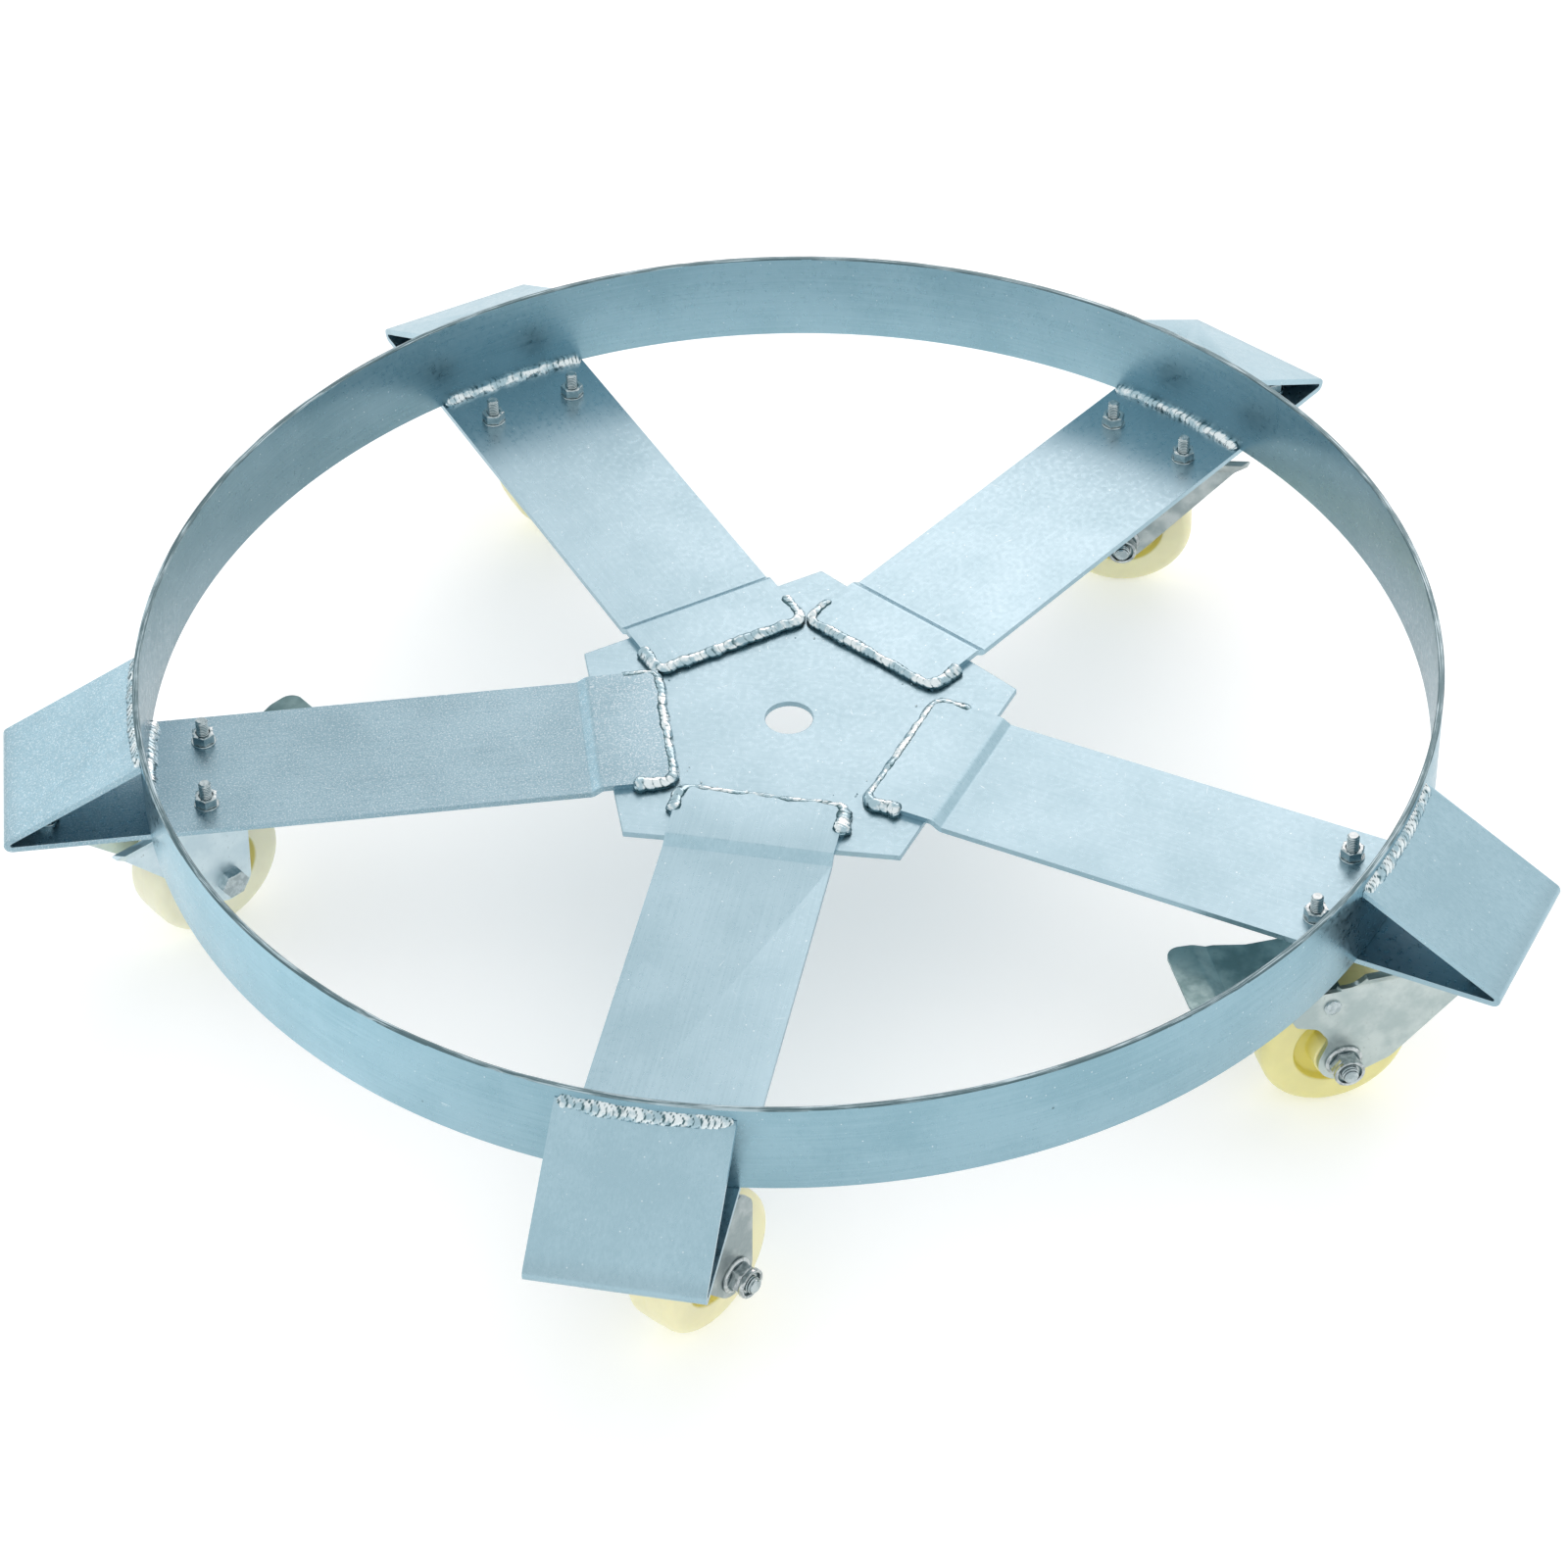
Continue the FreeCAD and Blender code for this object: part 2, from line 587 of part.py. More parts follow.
def pedal_rivets():
    """A short rivet on each side, through leg and cheek; the plain leg's is flush outside."""
    foot_end = CHEEK_OUTER_Y - CHEEK_THICKNESS - RUNNING_GAP
    shank = cylinder(RIVET_R, foot_end, LEG_OUTER_Y)
    foot = cylinder(RIVET_FOOT_R, foot_end - RIVET_FOOT_HEIGHT, foot_end)
    head = cylinder(RIVET_HEAD_R, LEG_OUTER_Y, LEG_OUTER_Y + RIVET_HEAD_HEIGHT)
    flush = at(along_y(shank.fuse(foot)), PIVOT_X, 0, PIVOT_Z)
    headed = flush.fuse(at(along_y(head), PIVOT_X, 0, PIVOT_Z))
    return Part.makeCompound([headed, flush.mirror(ORIGIN, Y_AXIS)])


# ---------------------------------------------------------------- assembly
def save_frame():
    bar = arm()
    ring_beads = []
    flap_beads = []
    for name, (angle, _, _, _) in CASTERS.items():
        save(name + "_arm", turn_z(bar.copy(), angle))
        ring_beads.append(turn_z(ring_weld(), angle))
        flap_beads.append(turn_z(flap_weld(bar), angle))
    save("hub_plate", hub_plate())
    save("ring", ring())
    save("hub_welds", hub_welds())
    save("ring_welds", Part.makeCompound(ring_beads))
    save("flap_welds", Part.makeCompound(flap_beads))
    save("inner_mounting_bolts", at_bolts(mounting_bolt(INNER_BOLT_TIP), INNER_BOLTS))
    save("outer_mounting_bolts", at_bolts(mounting_bolt(OUTER_BOLT_TIP), OUTER_BOLTS))
    save("mounting_nuts", at_bolts(mounting_nut(), INNER_BOLTS, OUTER_BOLTS))
    save("mounting_washers", at_bolts(mounting_washer(), INNER_BOLTS, OUTER_BOLTS))


def save_caster(name, arm_angle, trail_angle, nut_side, braked):
    def in_place(shape, own_angle):
        turn_z(shape, own_angle)
        arm_direction = math.radians(arm_angle)
        return at(shape, SWIVEL_R * math.cos(arm_direction), SWIVEL_R * math.sin(arm_direction), 0)

    save(name + "_caster_plate", in_place(caster_plate(), arm_angle))
    save(name + "_kingpin", in_place(kingpin(), arm_angle))
    save(name + "_race_balls", in_place(race_balls(), trail_angle))
    save(name + "_fork", in_place(fork(braked), trail_angle))
    save(name + "_wheel", in_place(wheel(), trail_angle))
    save(name + "_axle_sleeve", in_place(axle_sleeve(), trail_angle))
    save(name + "_axle_bolt", in_place(axle_bolt(nut_side), trail_angle))
    save(name + "_axle_nut", in_place(axle_nut(nut_side), trail_angle))
    if braked:
        save(name + "_brake_pedal", in_place(brake_pedal(), trail_angle))
        save(name + "_brake_shoe", in_place(brake_shoe(), trail_angle))
        save(name + "_pedal_rivets", in_place(pedal_rivets(), trail_angle))


os.makedirs("parts", exist_ok=True)
save_frame()
for caster_name, settings in CASTERS.items():
    save_caster(caster_name, *settings)
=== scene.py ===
import json
import math
import random

import bmesh
import bpy
from mathutils import Matrix, Vector, noise


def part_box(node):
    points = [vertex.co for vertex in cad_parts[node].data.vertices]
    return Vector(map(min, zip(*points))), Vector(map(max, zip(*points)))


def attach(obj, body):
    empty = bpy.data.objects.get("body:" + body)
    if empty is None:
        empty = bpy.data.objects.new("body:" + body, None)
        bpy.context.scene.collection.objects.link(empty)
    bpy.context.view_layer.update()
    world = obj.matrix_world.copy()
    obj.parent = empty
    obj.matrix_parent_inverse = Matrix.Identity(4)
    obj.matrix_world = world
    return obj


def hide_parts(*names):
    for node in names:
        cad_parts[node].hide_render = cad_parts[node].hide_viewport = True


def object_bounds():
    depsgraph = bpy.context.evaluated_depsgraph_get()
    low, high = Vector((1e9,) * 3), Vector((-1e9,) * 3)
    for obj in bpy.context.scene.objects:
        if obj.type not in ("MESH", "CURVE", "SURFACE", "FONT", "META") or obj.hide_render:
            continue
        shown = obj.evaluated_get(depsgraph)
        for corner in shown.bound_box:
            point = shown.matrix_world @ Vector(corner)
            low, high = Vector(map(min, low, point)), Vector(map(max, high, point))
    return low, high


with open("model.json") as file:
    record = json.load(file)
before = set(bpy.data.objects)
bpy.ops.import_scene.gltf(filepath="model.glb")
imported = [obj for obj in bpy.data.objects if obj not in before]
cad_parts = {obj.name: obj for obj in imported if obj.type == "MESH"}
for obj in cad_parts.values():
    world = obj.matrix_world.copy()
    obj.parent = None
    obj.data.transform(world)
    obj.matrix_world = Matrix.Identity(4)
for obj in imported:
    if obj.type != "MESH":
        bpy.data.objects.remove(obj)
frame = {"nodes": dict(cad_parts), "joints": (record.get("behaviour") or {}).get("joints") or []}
cad_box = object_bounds()

# Drum dolly. Metres, +Z up, z = 0 on the faces that the drum stands on.
MM = 0.001
UP = Vector((0, 0, 1))
CASTERS = ("front", "right", "back_right", "back_left", "left")
BRAKED = ("right", "left")
JOINTS = {joint["name"]: joint for joint in frame["joints"]}


# ---------------------------------------------------------------- places
def swivel_place(name):
    """Caster frame: origin on the swivel axis at z = 0, +X the way the wheel trails."""
    pivot = Vector(JOINTS[name + "_caster_swivel"]["pos_m"])
    axle = Vector(JOINTS[name + "_wheel_spin"]["pos_m"])
    angle = math.atan2(axle.y - pivot.y, axle.x - pivot.x)
    return Matrix.Translation((pivot.x, pivot.y, 0)) @ Matrix.Rotation(angle, 4, "Z")


def arm_place(name):
    """Arm frame: origin at the dolly's centre, +X out along the arm."""
    pivot = JOINTS[name + "_caster_swivel"]["pos_m"]
    return Matrix.Rotation(math.atan2(pivot[1], pivot[0]), 4, "Z")


def axle_place(name, side=1):
    """On the axle, with +Z along the caster's +Y (side 1) or -Y (side -1)."""
    turn = Matrix.Rotation(math.radians(-90 * side), 4, "X")
    return swivel_place(name) @ Matrix.Translation((TRAIL, 0, AXLE_Z)) @ turn


def nut_side(name):
    low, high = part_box(name + "_axle_nut")
    local = swivel_place(name).inverted() @ ((low + high) / 2)
    return 1 if local.y > 0 else -1


def local_box(node, place, keep=None):
    """A CAD node's lowest and highest corners in the given frame, in millimetres to two decimals."""
    inverse = place.inverted()
    points = [inverse @ vertex.co / MM for vertex in frame["nodes"][node].data.vertices]
    if keep:
        points = [point for point in points if keep(point)]
    return [[round(pick(point[axis] for point in points), 2) for axis in range(3)] for pick in (min, max)]


SWIVEL_AXIS = Vector(JOINTS["front_caster_swivel"]["pos_m"])
AXLE_CENTRE = Vector(JOINTS["front_wheel_spin"]["pos_m"])
TRAIL = (AXLE_CENTRE - SWIVEL_AXIS).xy.length
AXLE_Z = JOINTS["front_wheel_spin"]["pos_m"][2]
FLOOR_Z = cad_box[0][2]

ARM_LOW, ARM_HIGH = local_box("front_arm", arm_place("front"))
STEEL = -ARM_LOW[2] * MM
ARM_START_R = ARM_LOW[0] * MM
FOLD_REACH = ARM_HIGH[0] * MM
ARM_HALF_WIDTH = ARM_HIGH[1] * MM
FLAP_TOP = 40.5 * MM               # where the middle of the flap's outer face meets the rim

RING_OUTER_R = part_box("ring")[1].x
RING_INNER_R = RING_OUTER_R - STEEL
RING_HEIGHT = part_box("ring")[1].z
HUB_SECTOR = math.radians(72)
HUB_CORNER_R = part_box("hub_plate")[1].y
HUB_FLAT_R = HUB_CORNER_R * math.cos(HUB_SECTOR / 2)


# ---------------------------------------------------------------- shader helpers
def add(tree, kind, inputs=None, **attributes):
    node = tree.nodes.new("ShaderNode" + kind)
    for key, value in attributes.items():
        setattr(node, key, value)
    for key, value in (inputs or {}).items():
        if isinstance(value, bpy.types.NodeSocket):
            tree.links.new(value, node.inputs[key])
        else:
            node.inputs[key].default_value = value
    return node


def texture_noise(tree, vector, scale, detail=3.0, roughness=0.55):
    inputs = {"Vector": vector, "Scale": scale, "Detail": detail, "Roughness": roughness}
    return add(tree, "TexNoise", inputs).outputs["Fac"]


def ramp(tree, value, low, high, start=0.0, end=1.0):
    """A smooth step from start to end as value goes from low to high."""
    inputs = {"Value": value, "From Min": low, "From Max": high, "To Min": start, "To Max": end}
    return add(tree, "MapRange", inputs, interpolation_type="SMOOTHSTEP").outputs["Result"]


def math_node(tree, operation, first, second):
    return add(tree, "Math", {0: first, 1: second}, operation=operation).outputs[0]


def weighted(tree, *terms):
    """The sum of (value, weight) terms."""
    total = None
    for value, weight in terms:
        part = math_node(tree, "MULTIPLY", value, weight)
        total = part if total is None else math_node(tree, "ADD", total, part)
    return total


def mixed(tree, factor, first, second):
    node = add(tree, "Mix", data_type="RGBA")
    for socket, value in ((node.inputs[0], factor), (node.inputs[6], first), (node.inputs[7], second)):
        if isinstance(value, bpy.types.NodeSocket):
            tree.links.new(value, socket)
        else:
            socket.default_value = value
    return node.outputs[2]


def millimetres(tree):
    """The object's own coordinates, in millimetres."""
    source = add(tree, "TexCoord").outputs["Object"]
    return add(tree, "Mapping", {"Vector": source, "Scale": (1000, 1000, 1000)}).outputs["Vector"]


def mesh_attribute(tree, name, output="Fac"):
    return add(tree, "Attribute", attribute_name=name).outputs[output]


def start_material(name):
    material = bpy.data.materials.new(name)
    material.use_nodes = True
    tree = material.node_tree
    shader = tree.nodes["Principled BSDF"]
    return material, tree, shader


def colour(red, green, blue):
    return (red, green, blue, 1.0)


def surface(tree, shader, base, roughness, height, strength, depth):
    """Connects a colour, a roughness and a bump whose depth is in millimetres."""
    bump = add(tree, "Bump", {"Height": height, "Strength": strength, "Distance": depth * MM})
    tree.links.new(base, shader.inputs["Base Color"])
    tree.links.new(roughness, shader.inputs["Roughness"])
    tree.links.new(bump.outputs[0], shader.inputs["Normal"])


# ---------------------------------------------------------------- materials
DARK_ZINC = colour(0.10, 0.16, 0.18)


def bar_painted_light(tree, place):
    """Painted light: paler on the folded flap, and a painted highlight along the step down from the hub
    plate.
    """
    axes = add(tree, "SeparateXYZ", {0: place})
    flap = ramp(tree, axes.outputs["Z"], 4.0, 9.0, 1.0, 1.13)
    edge = HUB_FLAT_R / MM
    step_down = ramp(tree, axes.outputs["X"], edge + 2.2, edge + 4.2, 0.0, 0.14)
    level_again = ramp(tree, axes.outputs["X"], edge + 8.2, edge + 9.7, 1.0, 0.0)
    return math_node(tree, "ADD", flap, math_node(tree, "MULTIPLY", step_down, level_again))


def rolled_painted_light_and_shade(tree, place):
    """The rim's painted light and shade come from its mesh, so place isn't needed here."""
    return mesh_attribute(tree, "shade")


def scratches(tree, place):
    """Pale fine scratches in patches, running in three directions."""
    total = None
    for turn, seed in ((0.35, 11.0), (-0.6, 47.0), (1.25, 83.0)):
        turned = add(tree, "Mapping", {"Vector": place, "Location": (seed, seed, 0),
                                       "Rotation": (0, 0, turn)}).outputs[0]
        stretched = add(tree, "Mapping", {"Vector": turned, "Scale": (0.06, 1.6, 1.6)}).outputs[0]
        lines = ramp(tree, texture_noise(tree, stretched, 1.3, 2.0), 0.715, 0.76)
        patch = ramp(tree, texture_noise(tree, turned, 0.05, 1.0), 0.5, 0.62)
        lines = math_node(tree, "MULTIPLY", lines, patch)
        total = lines if total is None else math_node(tree, "MAXIMUM", total, lines)
    return total


def spots(tree, place, density, low, high, strength):
    """Round spots scattered over the surface, about density to a millimetre."""
    cells = add(tree, "TexVoronoi", {"Vector": place, "Scale": density, "Randomness": 1.0})
    return ramp(tree, cells.outputs["Distance"], low, high, strength, 0.0)


def zinc(name, light, dark, shade=None, grain=0.6, sparkle=0.0):
    """Blue-tinted zinc plating on rolled bar: cloudy tone, rolling streaks, grain, scratches and specks, with
    painted light and shade from the shade function and painted glints from sparkle.
    """
    material, tree, shader = start_material(name)
    place = mesh_attribute(tree, "place", "Vector")
    along = mesh_attribute(tree, "along", "Vector")
    cloud = texture_noise(tree, place, 0.022, 4.0)
    mottle = texture_noise(tree, place, 0.35, 4.0)
    streak = texture_noise(tree, along, 0.9, 3.0)
    fine = texture_noise(tree, place, 1.9, 3.0, 0.7)
    tone = weighted(tree, (cloud, 0.5), (mottle, 0.2), (streak, 0.3))
    base = mixed(tree, ramp(tree, tone, 0.38, 0.62), dark, light)
    # Painted light and shade: the plating's colour scaled by the shade function.
    if shade:
        scale = {0: base, "Scale": shade(tree, place)}
        base = add(tree, "VectorMath", scale, operation="SCALE").outputs[0]
    # Painted glints: small near-white spots over the plating.
    if sparkle:
        painted_glints = ramp(tree, texture_noise(tree, place, 1.1, 2.0, 0.8), 0.52, 0.64, 0.0, sparkle)
        base = mixed(tree, painted_glints, base, colour(0.92, 0.96, 0.98))
    marks = math_node(tree, "MAXIMUM", scratches(tree, place), spots(tree, place, 0.16, 0.035, 0.075, 1.0))
    base = mixed(tree, math_node(tree, "MULTIPLY", marks, 0.55), base, colour(0.86, 0.93, 0.95))
    base = mixed(tree, spots(tree, place, 0.021, 0.010, 0.018, 0.75), base, DARK_ZINC)

    roughness = weighted(tree, (ramp(tree, mottle, 0.3, 0.7, 0.23, 0.35), 1.0), (streak, 0.06))
    height = weighted(tree, (fine, grain), (mottle, 0.6), (streak, 0.25))
    surface(tree, shader, base, roughness, height, 0.35, 0.06)
    shader.inputs["Metallic"].default_value = 1.0
    return material


def cut_edge(name):
    """The rim's top edge: dark grey with bright drawn lines along it."""
    material, tree, shader = start_material(name)
    along = mesh_attribute(tree, "along", "Vector")
    place = mesh_attribute(tree, "place", "Vector")
    lines = texture_noise(tree, along, 1.7, 3.0, 0.6)
    patches = texture_noise(tree, place, 0.05, 4.0, 0.6)
    level = weighted(tree, (lines, 0.7), (patches, 0.3))
    base = mixed(tree, ramp(tree, level, 0.47, 0.62), DARK_ZINC, colour(0.42, 0.54, 0.59))
    surface(tree, shader, base, ramp(tree, lines, 0.3, 0.7, 0.26, 0.42), lines, 0.5, 0.2)
    shader.inputs["Metallic"].default_value = 1.0
    return material


def weld_metal(name):
    """Plated weld bead: bright ripple tops, with painted shade in dark teal in the creases, along the edges
    and under sunken lumps, from the mesh's own crease attribute.
    """
    material, tree, shader = start_material(name)
    place = millimetres(tree)
    crease = mesh_attribute(tree, "crease")
    mottle = texture_noise(tree, place, 0.45, 3.0)
    depth = weighted(tree, (crease, 1.0), (math_node(tree, "SUBTRACT", mottle, 0.5), 0.9))
    cloud = ramp(tree, texture_noise(tree, place, 0.14), 0.42, 0.58)
    bright = mixed(tree, cloud, colour(0.36, 0.50, 0.56), colour(0.72, 0.79, 0.81))
    base = mixed(tree, ramp(tree, depth, 0.16, 0.62), bright, colour(0.07, 0.14, 0.16))
    height = texture_noise(tree, place, 1.1, 3.0)
    surface(tree, shader, base, ramp(tree, mottle, 0.3, 0.7, 0.12, 0.30), height, 0.4, 0.12)
    shader.inputs["Metallic"].default_value = 1.0
    return material


def caster_steel(name, light, dark):
    """Grey zinc on pressed sheet: soft mottling, faint die marks and a few dark handling stains."""
    material, tree, shader = start_material(name)
    place = millimetres(tree)
    cloud = texture_noise(tree, place, 0.07, 4.0)
    mottle = texture_noise(tree, place, 0.5, 5.0, 0.6)
    fine = texture_noise(tree, place, 2.4, 3.0, 0.7)
    base = mixed(tree, ramp(tree, cloud, 0.35, 0.65), dark, light)
    stain = math_node(tree, "MULTIPLY", ramp(tree, mottle, 0.60, 0.74), ramp(tree, cloud, 0.45, 0.6))
    base = mixed(tree, math_node(tree, "MULTIPLY", stain, 0.55), base, colour(0.16, 0.19, 0.20))
    height = weighted(tree, (fine, 1.0), (mottle, 0.8))
    surface(tree, shader, base, ramp(tree, mottle, 0.3, 0.7, 0.28, 0.44), height, 0.3, 0.1)
    shader.inputs["Metallic"].default_value = 1.0
    return material


def bright_zinc(name, light, dark, rough=0.14):
    """Shiny plated fasteners, slightly clouded, with painted shade in the hollows that the mesh marks."""
    material, tree, shader = start_material(name)
    place = millimetres(tree)
    mottle = texture_noise(tree, place, 0.35, 3.0)
    base = mixed(tree, ramp(tree, mottle, 0.40, 0.60), dark, light)
    # Painted shade in the hollows.
    hollow = ramp(tree, mesh_attribute(tree, "crease"), 0.05, 0.5, 0.0, 0.9)
    base = mixed(tree, hollow, base, colour(0.05, 0.10, 0.11))
    surface(tree, shader, base, ramp(tree, mottle, 0.3, 0.7, rough, rough + 0.14), mottle, 0.2, 0.05)
    shader.inputs["Metallic"].default_value = 1.0
    return material


def nylon(name, shallow, deep):
    """Cast cream nylon: waxy, slightly translucent, yellower in the groove as painted shade, with faint
    scuffs.
    """
    material, tree, shader = start_material(name)
    place = millimetres(tree)
    depth = mesh_attribute(tree, "depth")
    cloud = texture_noise(tree, place, 0.05, 3.0)
    mottle = texture_noise(tree, place, 0.6, 4.0, 0.6)
    pale = tuple(min(1.0, 1.07 * channel) for channel in shallow[:3]) + (1.0,)
    base = mixed(tree, ramp(tree, cloud, 0.35, 0.65), shallow, pale)
    # Painted shade: the deep colour in the side groove.
    base = mixed(tree, math_node(tree, "MULTIPLY", depth, ramp(tree, cloud, 0.2, 0.8, 0.8, 1.0)), base, deep)
    scuff = ramp(tree, texture_noise(tree, place, 0.9, 5.0, 0.7), 0.70, 0.80)
    base = mixed(tree, math_node(tree, "MULTIPLY", scuff, 0.35), base, colour(0.45, 0.38, 0.22))
    surface(tree, shader, base, ramp(tree, mottle, 0.3, 0.7, 0.30, 0.44), mottle, 0.12, 0.1)
    shader.inputs["Subsurface Weight"].default_value = 0.25
    shader.inputs["Subsurface Radius"].default_value = (1.0, 0.8, 0.35)
    shader.inputs["Subsurface Scale"].default_value = 4 * MM
    return material


HUB_ZINC = zinc("zinc_hub", colour(0.36, 0.505, 0.575), colour(0.31, 0.45, 0.515))
ARM_ZINC = zinc("zinc_arms", colour(0.355, 0.50, 0.57), colour(0.30, 0.44, 0.505), bar_painted_light)
RING_ZINC = zinc("zinc_ring", colour(0.295, 0.455, 0.53), colour(0.24, 0.395, 0.465), rolled_painted_light_and_shade)
# The left arm: grainier plating with painted glints, in colours darker than the other arms' as painted shade.
GRAINY_SHADED_ZINC = zinc("zinc_left_arm", colour(0.30, 0.44, 0.51), colour(0.24, 0.37, 0.435), bar_painted_light,
                   grain=3.0, sparkle=0.35)
CUT_EDGE = cut_edge("zinc_cut_edge")
WELD = weld_metal("weld_bead")
PLATE_STEEL = caster_steel("caster_plate_steel", colour(0.52, 0.60, 0.60), colour(0.38, 0.47, 0.48))
PALE_FORK = caster_steel("pale_fork_steel", colour(0.66, 0.78, 0.83), colour(0.56, 0.69, 0.75))
MOTTLED_FORK = caster_steel("mottled_fork_steel", colour(0.53, 0.60, 0.59), colour(0.40, 0.48, 0.48))
GREY_FORK = caster_steel("grey_fork_steel", colour(0.50, 0.55, 0.55), colour(0.30, 0.36, 0.37))
FORK_STEELS = {"front": GREY_FORK, "right": MOTTLED_FORK, "back_right": GREY_FORK, "back_left": GREY_FORK,
               "left": PALE_FORK}
PEDAL_STEEL = caster_steel("pedal_steel", colour(0.26, 0.37, 0.38), colour(0.14, 0.23, 0.24))
FASTENER = bright_zinc("bright_zinc", colour(0.50, 0.57, 0.59), colour(0.36, 0.43, 0.45))
CHROME = bright_zinc("bright_axle_nut", colour(0.54, 0.58, 0.59), colour(0.33, 0.37, 0.38), 0.07)
NYLONS = {
    "front": nylon("nylon_front", colour(0.80, 0.76, 0.48), colour(0.80, 0.72, 0.24)),
    "right": nylon("nylon_right", colour(0.76, 0.71, 0.33), colour(0.76, 0.68, 0.16)),
    "back_right": nylon("nylon_back_right", colour(0.80, 0.77, 0.50), colour(0.78, 0.70, 0.22)),
    "back_left": nylon("nylon_back_left", colour(0.76, 0.73, 0.44), colour(0.78, 0.70, 0.22)),
    "left": nylon("nylon_left", colour(0.80, 0.79, 0.60), colour(0.78, 0.72, 0.30)),
}


# ---------------------------------------------------------------- mesh helpers
def finish_mesh(name, bm, material, body, replaced=(), smooth_angle=35):
    """Turns a bmesh into a piece that rides on a body and stands for the replaced CAD nodes."""
    bmesh.ops.recalc_face_normals(bm, faces=bm.faces)
    bm.normal_update()
    mesh = bpy.data.meshes.new(name)
    bm.to_mesh(mesh)
    bm.free()
    mesh.shade_smooth()
    mesh.set_sharp_from_angle(angle=math.radians(smooth_angle))
    mesh.materials.append(material)
    piece = bpy.data.objects.new(name, mesh)
    bpy.context.scene.collection.objects.link(piece)
    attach(piece, body)
    if replaced:
        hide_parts(*replaced)
    return piece


def cad_copy(node):
    """The CAD node's mesh with its flat faces joined back together."""
    bm = bmesh.new()
    bm.from_mesh(frame["nodes"][node].data)
    bmesh.ops.remove_doubles(bm, verts=bm.verts, dist=0.005 * MM)
    bmesh.ops.dissolve_limit(bm, angle_limit=math.radians(0.5), verts=bm.verts, edges=bm.edges)
    return bm


DRAWN_OUT = 0.02                   # how far the plating's streaks are compressed along the bar


def write_vectors(piece, name, values):
    layer = piece.data.attributes.new(name, "FLOAT_VECTOR", "POINT")
    for item, value in zip(layer.data, values):
        item.vector = value


def write_place(piece, place):
    """Each vertex's place in the given frame in millimetres, plain and drawn out along X, for the plating."""
    inverse = place.inverted()
    local = [(inverse @ vertex.co) / MM for vertex in piece.data.vertices]
    write_vectors(piece, "place", local)
    write_vectors(piece, "along", [Vector((DRAWN_OUT * point.x, point.y, point.z)) for point in local])


def eased(value, low, high):
    part = max(0.0, min(1.0, (value - low) / (high - low)))
    return part * part * (3 - 2 * part)


def ring_painted_light_and_shade(point):
    """Painted shade and light on the rim: darker inside at the left and right, paler outside at the front
    left.
    """
    if point.xy.length < (RING_INNER_R + RING_OUTER_R) / 2 / MM:
        return 1.08 - 0.36 * eased(abs(point.x), 120, 290)
    return 1.0 + 0.28 * eased(-point.x, 60, 200) * eased(-point.y, 0, 120)


def write_rolled_place(piece):
    """The same for the rim, drawn out round its circle, and the rim's painted light and shade."""
    local = [vertex.co / MM for vertex in piece.data.vertices]
    write_vectors(piece, "place", local)
    rolled = []
    for point in local:
        radius = point.xy.length
        around = point.xy * (DRAWN_OUT * RING_OUTER_R / MM / radius)
        rolled.append(Vector((around.x, around.y, point.z + radius)))
    write_vectors(piece, "along", rolled)
    # Painted light and shade on the rim, as a factor on the plating's colour.
    layer = piece.data.attributes.new("shade", "FLOAT", "POINT")
    for item, point in zip(layer.data, local):
        item.value = ring_painted_light_and_shade(point)


def mark_hollows(bm):
    """Writes how deep each vertex sits in a hollow, for the painted shade in threads and corners."""
    bmesh.ops.recalc_face_normals(bm, faces=bm.faces)
    bm.normal_update()
    layer = bm.verts.layers.float.new("crease")
    for vertex in bm.verts:
        rise = 0.0
        for edge in vertex.link_edges:
            rise += (edge.other_vert(vertex).co - vertex.co).normalized().dot(vertex.normal)
        vertex[layer] = max(0.0, min(1.0, 1.7 * rise / len(vertex.link_edges)))


def arc(centre_r, centre_z, radius, start, end, steps=5):
    """Points (r, z) on an arc, angles in degrees from the +r direction towards +z."""
    points = []
    for i in range(steps + 1):
        angle = math.radians(start + (end - start) * i / steps)
        points.append((centre_r + radius * math.cos(angle), centre_z + radius * math.sin(angle)))
    return points


def hexagon_r(across_flats, angle):
    """Distance from the axis to a hexagon's side, with a corner at angle 0."""
    off_corner = angle % (math.pi / 3)
    return across_flats / 2 / math.cos(off_corner - math.pi / 6)


def lofted(bm, rings, place, segments=24, closed=False):
    """A skin through rings round the local Z axis: (radius, height), or (hexagon's width, height, "hex")."""
    loops = []
    for ring in rings:
        loop = []
        for i in range(segments):
            angle = math.tau * i / segments
            radius = hexagon_r(ring[0], angle) if len(ring) == 3 else ring[0]
            point = Vector((radius * math.cos(angle), radius * math.sin(angle), ring[1]))
            loop.append(bm.verts.new(place @ (point * MM)))
        loops.append(loop)
    pairs = list(zip(loops, loops[1:]))
    if closed:
        pairs.append((loops[-1], loops[0]))
    for low, high in pairs:
        for i in range(segments):
            j = (i + 1) % segments
            bm.faces.new((low[i], low[j], high[j], high[i]))
    if not closed:
        bm.faces.new(loops[0][::-1])
        bm.faces.new(loops[-1])


def chamfered_hex(across_flats, low, high, chamfer_high=True):
    """Rings of a hexagon whose ends, or only the low one, are turned down to a circle."""
    fillet = 0.45
    turned = across_flats * 0.485
    eased_width = across_flats * 0.985
    rings = [(turned, low), (eased_width, low + fillet * 0.4, "hex"), (across_flats, low + fillet, "hex")]
    if not chamfer_high:
        return rings + [(across_flats, high, "hex")]
    return rings + [(across_flats, high - fillet, "hex"), (eased_width, high - fillet * 0.4, "hex"),
                    (turned, high)]


def threads(radius, low, high, pitch, depth):
    """Rings of a threaded stretch, each turn drawn as one ridge."""
    rings = []
    turns = int((high - low) / pitch)
    for i in range(turns):
        start = low + i * pitch
        rings += [(radius - depth, start), (radius, start + 0.35 * pitch), (radius, start + 0.6 * pitch)]
    rings.append((radius - depth, low + turns * pitch))
    return rings


